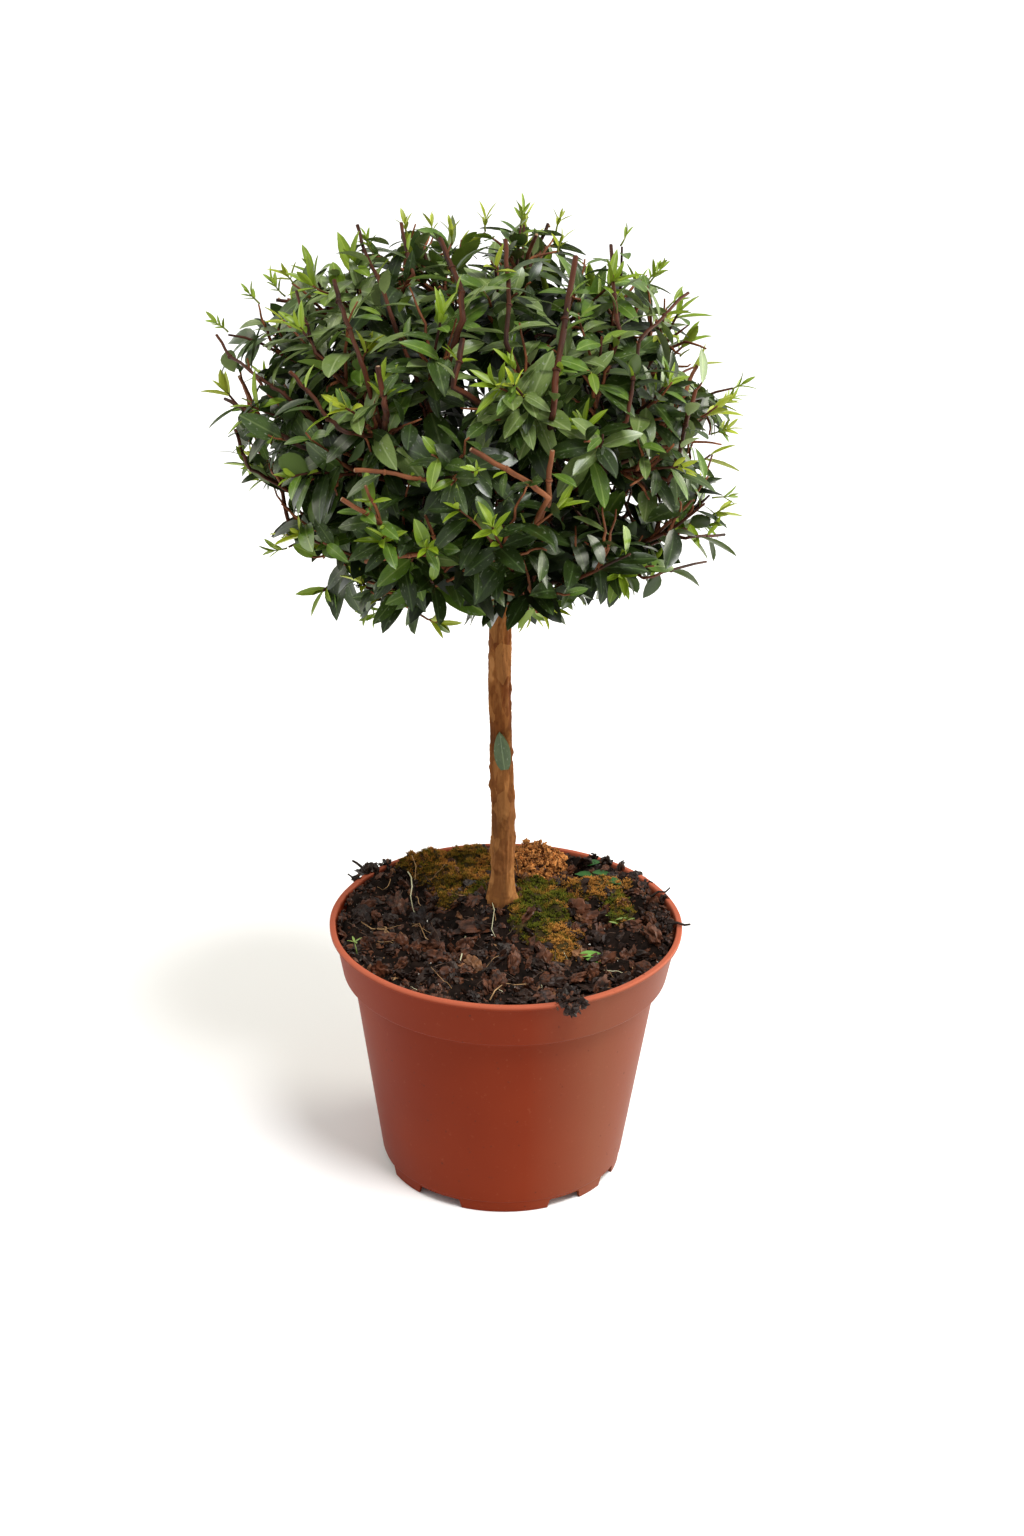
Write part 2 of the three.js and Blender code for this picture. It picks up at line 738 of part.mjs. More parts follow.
function leavesOn(bough, route, shoot, random, ribs) {
  const leaves = [];
  const length = route(0).distanceTo(route(1));
  const addLeaf = (t, turn, spread, size, width) => {
    const root = route(t);
    const along = route(Math.min(1, t + 0.05)).sub(route(t - 0.05)).normalize();
    const [u, v] = sideways(along);
    for (const nudge of [0, 40, -40, 80]) {
      for (const shrink of [1, 0.78]) {
        const angle = (turn + nudge) * DEG;
        const side = u.clone().multiplyScalar(Math.cos(angle)).addScaledVector(v, Math.sin(angle));
        const out = along.clone().multiplyScalar(Math.cos(spread * DEG));
        out.addScaledVector(side, Math.sin(spread * DEG)).normalize();
        const face = along.clone().addScaledVector(out, -along.dot(out)).normalize();
        const sunk = pointOn(root, out, -LEAF_SINK);
        const corners = leafCorners(sunk, out, face, size * shrink, width * shrink, size * 0.08);
        const { tip, left, right, above } = corners;
        const rib = [0.4, 0.7, 1].map((part) => sunk.clone().lerp(tip, part));
        const crowded = ribs.some((other) => (
          other.some((point, i) => point.distanceTo(rib[i]) < LEAF_ROOM)
        ));
        if (!crowded && fits(bough, [tip, left, right, above], shoot.limit)) {
          leaves.push(corners);
          ribs.push(rib);
          return;
        }
      }
    }
  };
  const first = random() * 360;
  const spacing = LEAF_SPACING / length;
  for (let pair = 0; pair < shoot.pairs; pair += 1) {
    const t = 1 - spacing * (pair + 0.75);
    const turn = first + pair * 90;
    for (const half of [0, 180]) {
      const size = LEAF_LENGTH * (0.85 + 0.3 * random());
      const spread = 48 + 8 * pair + 12 * random();
      addLeaf(Math.max(0.3, t), turn + half + 16 * (random() - 0.5), spread, size, LEAF_WIDTH);
    }
  }
  const tuft = random() * 360;
  for (const half of [0, 180]) {
    const size = TUFT_LEAF_LENGTH * (0.8 + 0.3 * random());
    addLeaf(0.97, tuft + half, 24 + 16 * random(), size, TUFT_LEAF_WIDTH);
  }
  return leaves;
}

// The dense inner part of a mass: a ball drawn in to the bough's share of the crown.
function coreSolid(bough) {
  const middleAt = bough.end + (bough.reach - bough.end) * 0.36;
  const middle = pointOn(FORK, bough.along, middleAt);
  const ball = new THREE.IcosahedronGeometry(1, CORE_FACETS);
  return solid(reshape(ball, (point) => {
    const along = point.clone().normalize();
    let near = 0;
    let far = 80;
    for (let i = 0; i < 20; i += 1) {
      const distance = (near + far) / 2;
      const at = pointOn(middle, along, distance);
      if (inCore(bough, at, CORE_SPACING, 0)) {
        near = distance;
      } else {
        far = distance;
      }
    }
    return pointOn(middle, along, Math.max(near, 1));
  }));
}

function makeFoliage() {
  const ends = shootEnds();
  boughs.forEach((bough, index) => {
    const random = seeded(SEED + 100 + index);
    const stemLength = (bough.reach - bough.end) * STEM_SHARE;
    const stemStart = bough.end + GAP;
    const stemPath = (t) => pointOn(FORK, bough.along, stemStart + stemLength * t);
    const stemRadius = (t) => STEM_RADIUS[0] + (STEM_RADIUS[1] - STEM_RADIUS[0]) * t;
    let mass = solid(limbGeometry(stemPath, stemRadius, 6, 2, bough.along));
    mass = mass.add(coreSolid(bough));
    const ribs = [];
    const twigRadius = (t) => TWIG_RADIUS[0] + (TWIG_RADIUS[1] - TWIG_RADIUS[0]) * t;
    ends.filter((shoot) => shareOf(shoot.end) === bough).forEach((shoot) => {
      const route = drawnIn(bough, shoot.end);
      if (!route) {
        return;
      }
      const branched = mass.add(solid(limbGeometry(route, twigRadius, 3, 2)));
      if (!staysSound(branched)) {
        return;
      }
      mass = branched;
      leavesOn(bough, route, shoot, random, ribs).forEach((corners) => {
        const grown = mass.add(leafSolid(corners));
        mass = staysSound(grown) ? grown : mass;
      });
    });
    addNode(`foliage_${bough.name}`, outerShell(mass), 0x2f5a35, 0.5);
  });
}

makePot();
makeSoil();
makeMoss();
makeTrunk();
makeTrunkLeaf();
makeBoughs();
makeFoliage();

export default plant;
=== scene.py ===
"""The looks of a standard myrtle in its nursery pot.

Lengths are millimetres in this script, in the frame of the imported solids, and
become metres where a mesh is made. +Z is up and the front is -Y.
"""
import math

import bmesh
import bpy
import numpy as np
from mathutils import Matrix, Vector, noise


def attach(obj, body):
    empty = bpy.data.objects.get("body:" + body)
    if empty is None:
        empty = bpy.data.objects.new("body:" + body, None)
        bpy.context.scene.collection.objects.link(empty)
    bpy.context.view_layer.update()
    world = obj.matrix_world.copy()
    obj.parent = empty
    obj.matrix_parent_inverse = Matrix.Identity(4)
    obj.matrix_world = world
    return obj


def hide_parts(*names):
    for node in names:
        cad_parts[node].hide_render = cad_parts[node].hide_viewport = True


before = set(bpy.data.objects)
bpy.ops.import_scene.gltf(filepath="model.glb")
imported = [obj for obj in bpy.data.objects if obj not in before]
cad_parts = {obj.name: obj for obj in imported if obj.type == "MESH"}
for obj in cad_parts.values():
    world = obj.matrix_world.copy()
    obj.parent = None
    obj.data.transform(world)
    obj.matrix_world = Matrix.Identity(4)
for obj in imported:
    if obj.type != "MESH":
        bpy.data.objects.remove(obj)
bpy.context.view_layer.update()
MM = 0.001

# ------------------------------------------------------------------ the plant's sizes
# The same named sizes and the same seeded rule as the solids.

TRUNK_FOOT = np.array([-2.0, 15.0, 106.0])
FORK = np.array([-4.4, 16.5, 266.0])
TRUNK_RADIUS_LOW = 5.1
TRUNK_RADIUS_HIGH = 4.5
TRUNK_BOW = 0.7
FLARE = 1.9
FLARE_FALL = 6
HEAD_RADIUS = 7.8

CROWN_CENTRE = np.array([-14.0, 16.0, 330.0])
CROWN_REACH = np.array([105.0, 103.0, 80.0])
# Where the outline swells or falls in: turn round the outline from its right, share, spread.
CROWN_LOBES = [(159, 0.15, 8), (27, -0.11, 12), (-9, -0.07, 8), (-36, 0.11, 9), (197, -0.09, 16),
               (236, 0.12, 7)]
# The outline that the photo shows leans back by this angle.
LOBE_LEAN = 25

# Rings of boughs: name, count, first turn, rise, swing of the rise, radius at base and tip.
BOUGH_RINGS = [
    ("low", 7, 12, 11, 5, 1.95, 1.7),
    ("high", 5, 38, 49, 4, 1.9, 1.6),
    ("top", 1, 0, 88, 0, 1.9, 1.6),
]
BOUGH_START = 8.3
BOUGH_SHARE = 0.36
BOUGH_BOW = 1.6
GAP = 0.3
SHOOT_COUNT = 67
STEM_SHARE = 0.45
MAIN_REACH = (0.93, 1.0)
SEED = 20417

# Finer growth that only the looks have.
SIDE_SHOOT_COUNT = 310
SIDE_REACH = (0.72, 0.99)
INNER_SHOOT_COUNT = 190
INNER_REACH = (0.46, 0.72)
OUTER_SHOOTS = 0.84
LEAF_LENGTH = 20.6
LEAF_SPACING = 6.0
LEAFY_LENGTH = 46.0
# Radii of the twigs at their root and at their tip.
MAIN_TWIG = (1.2, 0.45)
SIDE_TWIG = (0.85, 0.36)
INNER_TWIG = (0.9, 0.45)
CUT_TWIG = (1.0, 0.75)
# Chances: that a leaf is missing, is of another colour than its spray, or is fresh at the tip,
# and that a main, an outer or an inner shoot ends in a tuft of young leaves.
LEAF_MISSING = 0.07
LEAF_OTHER = 0.25
LEAF_FRESH = 0.3
MAIN_TUFT = 0.75
OUTER_TUFT = 0.22
INNER_TUFT = 0.03
CUT_STEM_COUNT = 46
CUT_REACH = (0.88, 1.03)
STEM_ROOM = 1.5
STEM_LEAF_SPACING = 6.5
BACK_SPRIG_COUNT = 46
SPRIG_ROOM = 11.0
TWIG_CLEARANCE = 6.5

# Tips of the long young shoots that the shears missed, as in the solids.
LONG_TIPS = [
    (3, 38, 415), (47, 30, 408), (-46, 30, 401), (-111, 16, 381), (-124, 12, 370), (-100, 0, 274),
    (-60, -12, 252), (46, -5, 260), (78, 0, 277), (90, 5, 300), (97, 16, 347), (-14, -98, 346),
    (8, 131, 338),
]
LONG_TIP_ROOM = 27.0

# Tips of the finer sprigs that only the looks have.
SPRIG_TIPS = [
    (-13, 38, 413), (20, 38, 404), (-111, 16, 382), (-116, 10, 339), (-110, 5, 304), (-56, -10, 250),
    (74, 0, 367), (91, 10, 341), (89, 10, 328), (84, 5, 287), (29, -15, 265), (-63, 25, 405),
    (68, 16, 384), (-98, 30, 388), (-28, 36, 408), (60, 20, 394),
]

# Openings at the crown's edge where the sky shows: x, z and radius where their
# line of sight passes the crown's middle, and how that line falls to the back.
SKY_GAPS = [
    (-108, 342, 7.2), (-97, 297, 7.0), (-76, 269, 6.6), (69, 361, 6.0), (47, 298, 5.8), (80, 351, 5.8),
    (59, 382, 4.8), (-94, 379, 4.2), (-91, 274, 4.0), (41, 405, 4.0), (-13, 397, 3.6), (70, 276, 5.0),
    (53, 371, 4.4), (-90, 290, 3.6), (81, 302, 5.0), (-25, 255, 3.6), (81, 318, 4.6), (-47, 393, 3.2),
    (39, 302, 3.4), (64, 266, 4.2), (12, 391, 3.0), (76, 326, 3.8), (60, 300, 4.4),
]
SKY_LINE_FALL = 18.3

# Bare stems left by the shears: radius at the root and at the cut, and the points between.
BARE_STEMS = [
    (1.3, 1.0, [(14, -68, 362), (15, -58, 375), (18, -39, 389), (22, -10, 405)]),
    (1.1, 0.9, [(13, -66, 325), (13, -76, 338), (14, -77, 350)]),
    (1.03, 0.86, [(13, -78, 332), (6, -80, 338), (-3, -81, 344), (-16, -86, 353)]),
    (1.03, 0.86, [(-32, -48, 295), (-39, -62, 306), (-52, -76, 322), (-64, -78, 330)]),
    (0.69, 0.52, [(-50, -74, 320), (-53, -76, 329), (-55, -80, 336)]),
    (0.86, 0.73, [(-26, -60, 331), (-35, -74, 337), (-48, -76, 340), (-59, -80, 342)]),
    (0.95, 0.77, [(-24, -52, 298), (-29, -66, 305), (-39, -70, 305), (-56, -62, 299)]),
    (0.69, 0.52, [(-29, -66, 305), (-30, -70, 313), (-33, -72, 322)]),
    (0.86, 0.73, [(-63, -66, 352), (-70, -60, 355), (-78, -49, 362), (-85, -47, 369)]),
    (1.2, 0.95, [(-20, -46, 390), (-21, -34, 397), (-25, -18, 402), (-30, -6, 410)]),
    (1.15, 1.0, [(-23, -66, 370), (-21, -60, 378), (-20, -54, 385)]),
    (0.95, 0.77, [(-4, -54, 384), (-3, -39, 394), (-4, -19, 402), (-5, -6, 410)]),
    (0.8, 0.62, [(-49, -22, 388), (-54, -6, 395), (-60, 12, 400), (-63, 20, 408)]),
    (0.8, 0.65, [(-40, -6, 396), (-43, 8, 400), (-46, 24, 408)]),
    (0.99, 0.77, [(-58, -52, 375), (-63, -37, 383), (-68, -21, 389), (-70, -16, 396)]),
    (1.12, 0.99, [(-48, -68, 362), (-49, -64, 366), (-51, -64, 377)]),
    (0.8, 0.52, [(47, -24, 377), (57, -4, 381), (67, 14, 385)]),
    (0.86, 0.69, [(39, -34, 383), (37, -15, 392), (36, 12, 404)]),
    (0.95, 0.77, [(59, -42, 327), (62, -44, 336), (65, -38, 348), (69, -26, 358)]),
    (0.69, 0.52, [(70, -18, 295), (77, -8, 292), (85, 2, 289)]),
    (0.77, 0.43, [(52, -30, 282), (63, -18, 281), (78, 0, 278)]),
    (0.82, 0.52, [(-90, -30, 356), (-98, -22, 358), (-112, 0, 360), (-118, 9, 366)]),
    (0.86, 0.6, [(-82, -40, 337), (-91, -30, 339), (-106, -12, 343), (-114, -4, 344)]),
    (0.77, 0.52, [(-76, -36, 373), (-80, -23, 380), (-85, -8, 389)]),
    (0.86, 0.6, [(42, -56, 355), (44, -48, 369), (46, -36, 379)]),
    (0.77, 0.6, [(-102, -30, 324), (-107, -14, 326), (-110, -6, 332)]),
]

# ------------------------------------------------------------------ numbers and vectors

GOLDEN = math.pi * (3 - math.sqrt(5))


def seeded(seed):
    """The solids' generator of numbers from 0 to 1."""
    state = seed & 0xFFFFFFFF

    def draw():
        nonlocal state
        state = (state + 0x6D2B79F5) & 0xFFFFFFFF
        t = state
        t = ((t ^ (t >> 15)) * (t | 1)) & 0xFFFFFFFF
        t ^= (t + (((t ^ (t >> 7)) * (t | 61)) & 0xFFFFFFFF)) & 0xFFFFFFFF
        return ((t ^ (t >> 14)) & 0xFFFFFFFF) / 4294967296

    return draw


def unit(v):
    """The vector at length 1."""
    return v / (np.linalg.norm(v) or 1.0)


def direction(turn, rise):
    """The way that is turned from the front and raised from the level, in degrees."""
    turn, rise = math.radians(turn), math.radians(rise)
    flat = math.cos(rise)
    return np.array([flat * math.sin(turn), -flat * math.cos(turn), math.sin(rise)])


def sideways(along):
    """Two ways at right angles to a third and to each other."""
    helper = np.array([0, 0, 1.0]) if abs(along[2]) < 0.9 else np.array([1.0, 0, 0])
    u = unit(np.cross(helper, along))
    return u, np.cross(along, u)


def beside(along, turn):
    """The way at a right angle to another, turned round it by some degrees."""
    u, v = sideways(along)
    return u * math.cos(math.radians(turn)) + v * math.sin(math.radians(turn))


def jitter(draw):
    """A random vector, each part of it from -0.5 to 0.5."""
    return np.array([draw() - 0.5, draw() - 0.5, draw() - 0.5])


def lump(x, y, scale, layer):
    """Soft noise from -1 to 1 over the plane."""
    return noise.noise(Vector((x * scale, y * scale, layer)))


def bezier(a, b, c, t):
    """A point of the curve from a to c that b draws to its side."""
    s = 1 - t
    return a * s * s + b * 2 * s * t + c * t * t


def angle_between(a, b):
    """The angle between two ways, in degrees."""
    return math.degrees(math.acos(max(-1.0, min(1.0, float(np.dot(unit(a), unit(b)))))))


# ------------------------------------------------------------------ the crown's rule


def lobe_direction(turn):
    """The way of one lobe from the crown's middle."""
    rise = math.sin(math.radians(turn))
    lean = math.radians(LOBE_LEAN)
    return np.array([math.cos(math.radians(turn)), rise * math.sin(lean), rise * math.cos(lean)])


FAR_OUT = 260.0
HALVINGS = 24
LOBES = [(lobe_direction(turn), amount, width) for turn, amount, width in CROWN_LOBES]


def swell_at(ball):
    """How far the crown reaches one way, as a share of its even reach."""
    share = 1.0
    for lobe, amount, width in LOBES:
        apart = angle_between(ball, lobe) / width
        share += amount * math.exp(-apart * apart / 2)
    return share


def outness(point):
    """0 at the crown's middle and 1 on its surface."""
    ball = (point - CROWN_CENTRE) / CROWN_REACH
    return float(np.linalg.norm(ball)) / swell_at(unit(ball))


def distance_out(start, along, share):
    """How far a line runs before it reaches a share of the crown's reach, by halving."""
    near, far = 0.0, FAR_OUT
    for _ in range(HALVINGS):
        middle = (near + far) / 2
        if outness(start + along * middle) < share:
            near = middle
        else:
            far = middle
    return near


def make_boughs():
    """Each bough's name, way, length, radii and bow."""
    draw = seeded(SEED)
    boughs = []
    for name, count, ring_turn, ring_rise, swing, base, tip in BOUGH_RINGS:
        for i in range(count):
            turn = ring_turn + (360 / count) * (i + 0.24 * (draw() - 0.5))
            rise = ring_rise + swing * (1 if i % 2 else -1) * (0.6 + 0.4 * draw())
            along = direction(turn, rise)
            bow = direction(turn + 90 * (draw() - 0.5), 70) * -BOUGH_BOW
            bow = bow - along * np.dot(bow, along)
            reach = distance_out(FORK, along, 1)
            boughs.append({
                "name": f"{name}_{i + 1}",
                "along": along,
                "reach": reach,
                "end": reach * BOUGH_SHARE,
                "base": base,
                "tip": tip,
                "bow": bow,
            })
    return boughs


BOUGHS = make_boughs()


def share_of(point):
    """The bough whose share of the crown a point is in."""
    return max(BOUGHS, key=lambda bough: float(np.dot(point - FORK, bough["along"])))


def trunk_centre(z):
    """The middle of the trunk at a height."""
    t = (z - TRUNK_FOOT[2]) / (FORK[2] - TRUNK_FOOT[2])
    centre = TRUNK_FOOT + (FORK - TRUNK_FOOT) * t
    centre[0] += TRUNK_BOW * math.sin(2 * math.pi * t)
    centre[2] = z
    return centre


def shoot_ends(count, seed, reach):
    """Points spread evenly over the crown, each the end of one shoot."""
    low, high = reach
    draw = seeded(seed)
    ends = []
    for i in range(count):
        height = 1 - (2 * (i + 0.5)) / count
        ring = math.sqrt(1 - height * height)
        turn = GOLDEN * i + 0.3 * draw()
        ball = np.array([ring * math.cos(turn), ring * math.sin(turn), height])
        share = (low + (high - low) * draw()) * swell_at(ball)
        end = ball * CROWN_REACH * share + CROWN_CENTRE
        off_trunk = math.hypot(end[0] - FORK[0], end[1] - FORK[1])
        if end[2] > FORK[2] or off_trunk > 2.4 * HEAD_RADIUS:
            ends.append(end)
    return ends


def main_shoot_ends():
    """The solids' shoots: even ends, the nearest to each long tip drawn out to it."""
    ends = shoot_ends(SHOOT_COUNT, SEED + 1, MAIN_REACH)
    tips = {}
    for tip in LONG_TIPS:
        out = unit(tip - CROWN_CENTRE)
        end = tip - out * LONG_TIP_ROOM
        nearest = min(range(len(ends)), key=lambda i: float(np.linalg.norm(ends[i] - end)))
        ends[nearest] = end
        tips[nearest] = tip - out * SPRIG_ROOM
    return [(end, tips.get(i)) for i, end in enumerate(ends)]


def twig_route(bough, end):
    """A main twig's route from its stem to the end of its shoot."""
    stem_length = (bough["reach"] - bough["end"]) * STEM_SHARE
    angle = angle_between(end - FORK, bough["along"])
    joins = min(0.95, max(0.15, 1 - angle / 38))
    start = FORK + bough["along"] * (bough["end"] + GAP + stem_length * joins)
    span = np.linalg.norm(end - start)
    bend = start + (end - start) * 0.45 + bough["along"] * span * 0.12
    return lambda t: bezier(start, bend, end, t)


# ------------------------------------------------------------------ meshes


class Pile:
    """The vertices, faces and texture places of one kind of small thing."""

    def __init__(self):
        self.verts = []
        self.faces = []
        self.places = []
        self.count = 0

    def add(self, verts, faces, places=None):
        self.verts.append(np.asarray(verts, float))
        self.faces.extend([tuple(i + self.count for i in face) for face in faces])
        if places is not None:
            self.places.append(np.asarray(places, float))
        self.count += len(verts)


def make_piece(name, pile, material, replaced=(), smooth=True):
    """One object of the scene from a pile, in metres."""
    mesh = bpy.data.meshes.new(name)
    mesh.from_pydata((np.concatenate(pile.verts) * MM).tolist(), [], pile.faces)
    if pile.places:
        layer = mesh.uv_layers.new(name="OFBake")
        places = np.concatenate(pile.places)
        loops = np.empty(len(mesh.loops), dtype=np.int32)
        mesh.loops.foreach_get("vertex_index", loops)
        layer.data.foreach_set("uv", places[loops].ravel())
    mesh.polygons.foreach_set("use_smooth", [smooth] * len(mesh.polygons))
    mesh.update()
    place_object(name, mesh, material, replaced)


def make_pieces(piles, colours, slot, painter, *finish, smooth=True):
    """A piece of each kind of small thing, painted in its own colours."""
    for name, tones in colours.items():
        make_piece(name, piles[name], painter(name, *tones, *finish), smooth=smooth)


def place_object(name, mesh, material, replaced=()):
    """An object that rides on the one body and stands for the solids it replaces."""
    piece = bpy.data.objects.new(name, mesh)
    bpy.context.scene.collection.objects.link(piece)
    mesh.materials.clear()
    mesh.materials.append(material)
    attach(piece, "root")
    if replaced:
        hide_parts(*replaced)


def mesh_of(bm, name):
    """A mesh from an editable one, which is freed."""
    mesh = bpy.data.meshes.new(name)
    bm.to_mesh(mesh)
    bm.free()
    return mesh


def ring_faces(rings, sides):
    """The faces of a closed bar made of rings of points, with its two flat ends."""
    faces = []
    for i in range(rings - 1):
        for k in range(sides):
            a, b = i * sides + k, i * sides + (k + 1) % sides
            faces.append((a, b, b + sides, a + sides))
    last = (rings - 1) * sides
    return faces + [tuple(range(sides - 1, -1, -1)), tuple(range(last, last + sides))]


def patch_corner(point):
    """Where on the texture a small thing lies; it depends on where the thing is."""
    ways = ((1.31, 0.77, 0.23), (0.57, 1.13, 0.91))
    return [0.04 + 0.7 * (abs(float(np.dot(point, way))) % 1) for way in ways]


def tube(pile, points, radii, sides=6, patch=None):
    """A round bar through the points, closed at both ends, with its patch of the texture."""
    points = [np.asarray(p, float) for p in points]
    u0, v0, wide, tall = patch or (*patch_corner(points[0]), 0.05, 0.2)
    verts, places = [], []
    u = sideways(unit(points[1] - points[0]))[0]
    for i, point in enumerate(points):
        before = points[max(0, i - 1)]
        after = points[min(len(points) - 1, i + 1)]
        along = unit(after - before)
        u = unit(u - along * np.dot(u, along))
        v = np.cross(along, u)
        for k in range(sides):
            turn = 2 * math.pi * k / sides
            verts.append(point + (u * math.cos(turn) + v * math.sin(turn)) * radii[i])
            places.append((u0 + wide * k / sides, v0 + tall * i / (len(points) - 1)))
    pile.add(verts, ring_faces(len(points), sides), places)


# ------------------------------------------------------------------ materials


def new_material(name, rough, colour, specular):
    """A plain material, with its node tree and its shader."""
    material = bpy.data.materials.new(name)
    material.use_nodes = True
    shader = material.node_tree.nodes["Principled BSDF"]
    shader.inputs["Base Color"].default_value = (*colour, 1)
    shader.inputs["Roughness"].default_value = rough
    shader.inputs["Specular IOR Level"].default_value = specular
    return material, material.node_tree, shader


def node(tree, kind, **values):
    """A new node with some of its values set."""
    made = tree.nodes.new(kind)
    for key, value in values.items():
        setattr(made, key, value)
    return made


def maths(tree, operation, a, b=0.5, c=None):
    """A Math node; a, b and c are numbers or sockets."""
    made = node(tree, "ShaderNodeMath", operation=operation)
    for i, value in enumerate([a, b] if c is None else [a, b, c]):
        if isinstance(value, (int, float)):
            made.inputs[i].default_value = value
        else:
            tree.links.new(value, made.inputs[i])
    return made.outputs[0]


def mixed(tree, factor, first, second):
    """A colour mixed from two colours or sockets."""
    made = node(tree, "ShaderNodeMix", data_type="RGBA")
    ports = [made.inputs[0], made.inputs[6], made.inputs[7]]
    for port, value in zip(ports, (factor, first, second)):
        if isinstance(value, tuple):
            port.default_value = (*value, 1)
        elif isinstance(value, (int, float)):
            port.default_value = value
        else:
            tree.links.new(value, port)
    return made.outputs[2]


def ramp(tree, factor, stops):
    """A colour ramp; each stop is a place and a colour or a grey."""
    made = node(tree, "ShaderNodeValToRGB")
    elements = made.color_ramp.elements
    while len(elements) < len(stops):
        elements.new(0.5)
    for element, (place, colour) in zip(elements, stops):
        element.position = place
        element.color = (*colour, 1) if isinstance(colour, tuple) else (colour, colour, colour, 1)
    tree.links.new(factor, made.inputs[0])
    return made.outputs[0]


def noise_at(tree, vector, scale, detail, rough, squash=(1, 1, 1)):
    """Noise over a vector, which squash stretches or draws together."""
    mapping = node(tree, "ShaderNodeMapping")
    mapping.inputs["Scale"].default_value = squash
    tree.links.new(vector, mapping.inputs["Vector"])
    made = node(tree, "ShaderNodeTexNoise")
    made.inputs["Scale"].default_value = scale
    made.inputs["Detail"].default_value = detail
    made.inputs["Roughness"].default_value = rough
    tree.links.new(mapping.outputs[0], made.inputs["Vector"])
    return made.outputs["Fac"]


def add_bump(tree, shader, height, strength, distance):
    """Fine relief in the shader alone."""
    made = node(tree, "ShaderNodeBump")
    made.inputs["Strength"].default_value = strength
    made.inputs["Distance"].default_value = distance
    tree.links.new(height, made.inputs["Height"])
    tree.links.new(made.outputs[0], shader.inputs["Normal"])


def object_place(tree):
    """Where a point is on the object, in metres."""
    return node(tree, "ShaderNodeTexCoord").outputs["Object"]


def texture_place(tree):
    """Where a point is on the piece's own texture."""
    return node(tree, "ShaderNodeUVMap", uv_map="OFBake").outputs[0]


def parts_of(tree, vector):
    """The three parts of a vector."""
    split = node(tree, "ShaderNodeSeparateXYZ")
    tree.links.new(vector, split.inputs[0])
    return split.outputs


def paint(tree, shader, factor, dark, light):
    """Mixes the shader's base colour from two by a factor."""
    tree.links.new(mixed(tree, factor, dark, light), shader.inputs["Base Color"])


# The leaves' texture is a square of cells: the last row has undersides, the others upper sides.
CELLS = 4
DRIED_SPRAY = (0.30, 0.34, 0.24)


def leaf_material(name, dark, light, rib, stain, rough):
    """A leaf's colours, laid out on its own outline: blade, midrib, veins, dried drops."""
    material, tree, shader = new_material(name, rough, dark, 0.44)
    place = texture_place(tree)
    x, y, _ = parts_of(tree, place)
    across = maths(tree, "FRACT", maths(tree, "MULTIPLY", x, CELLS))
    lengthways = maths(tree, "FRACT", maths(tree, "MULTIPLY", y, CELLS))
    off_rib = maths(tree, "ABSOLUTE", maths(tree, "SUBTRACT", across, 0.5))
    cloud = noise_at(tree, place, 9.0, 3, 0.6)
    blade = mixed(tree, ramp(tree, cloud, [(0.35, 0.0), (0.68, 1.0)]), dark, light)
    vein_at = maths(tree, "MULTIPLY_ADD", off_rib, -9.0, maths(tree, "MULTIPLY", lengthways, 11.0))
    vein = maths(tree, "SINE", maths(tree, "MULTIPLY", vein_at, 2 * math.pi))
    vein_mask = ramp(tree, vein, [(0.86, 0.0), (1.0, 0.22)])
    blade = mixed(tree, vein_mask, blade, rib)
    rib_mask = ramp(tree, off_rib, [(0.012, 0.75), (0.05, 0.0)])
    blade = mixed(tree, rib_mask, blade, rib)
    if stain:
        drops = noise_at(tree, place, 46.0, 2, 0.4)
        film = noise_at(tree, place, 13.0, 2, 0.5)
        mask = maths(tree, "MULTIPLY", ramp(tree, drops, [(0.6, 0.0), (0.7, 1.0)]),
                     ramp(tree, film, [(0.42, 0.0), (0.62, stain)]))
        blade = mixed(tree, mask, blade, DRIED_SPRAY)
    below = maths(tree, "GREATER_THAN", y, 1 - 1 / CELLS)
    paint(tree, shader, below, blade, tuple(0.5 * a + 0.5 * b for a, b in zip(light, rib)))
    return material


def twig_material(name, dark, light, rough):
    """Stems and threads, each in its own tone."""
    material, tree, shader = new_material(name, rough, dark, 0.2)
    tone = noise_at(tree, texture_place(tree), 16, 4, 0.6)
    paint(tree, shader, ramp(tree, tone, [(0.38, 0.0), (0.62, 1.0)]), dark, light)
    return material


def patch_material(name, dark, light, rough, specular):
    """Small things that each read their own patch of the texture."""
    material, tree, shader = new_material(name, rough, dark, specular)
    place = texture_place(tree)
    tone = noise_at(tree, place, 7, 2, 0.5)
    grit = noise_at(tree, place, 34, 4, 0.65)
    both = maths(tree, "MULTIPLY_ADD", grit, 0.55, maths(tree, "MULTIPLY", tone, 0.5))
    paint(tree, shader, ramp(tree, both, [(0.43, 0.0), (0.64, 1.0)]), dark, light)
    return material


def moss_material(name, dark, light):
    """Moss shoots: dark at the root and pale at the tip, some shoots paler than others."""
    material, tree, shader = new_material(name, 0.8, dark, 0.08)
    place = texture_place(tree)
    tone = noise_at(tree, place, 60, 2, 0.6, (1, 0.02, 1))
    height = parts_of(tree, place)[1]
    both = maths(tree, "MULTIPLY_ADD", height, 0.75, maths(tree, "MULTIPLY", tone, 0.8))
    paint(tree, shader, ramp(tree, both, [(0.46, 0.0), (1.0, 1.0)]), dark, light)
    return material


def compost_material():
    """The compost bed under its crumbs, near black: partly the compost's own dark colour and partly painted
    shade in the gaps between the crumbs.
    """
    dark, light = (0.004, 0.0025, 0.0018), (0.018, 0.010, 0.007)
    material, tree, shader = new_material("compost_bed", 0.95, dark, 0.1)
    tone = noise_at(tree, object_place(tree), 150, 5, 0.65)
    paint(tree, shader, ramp(tree, tone, [(0.36, 0.0), (0.7, 1.0)]), dark, light)
    return material


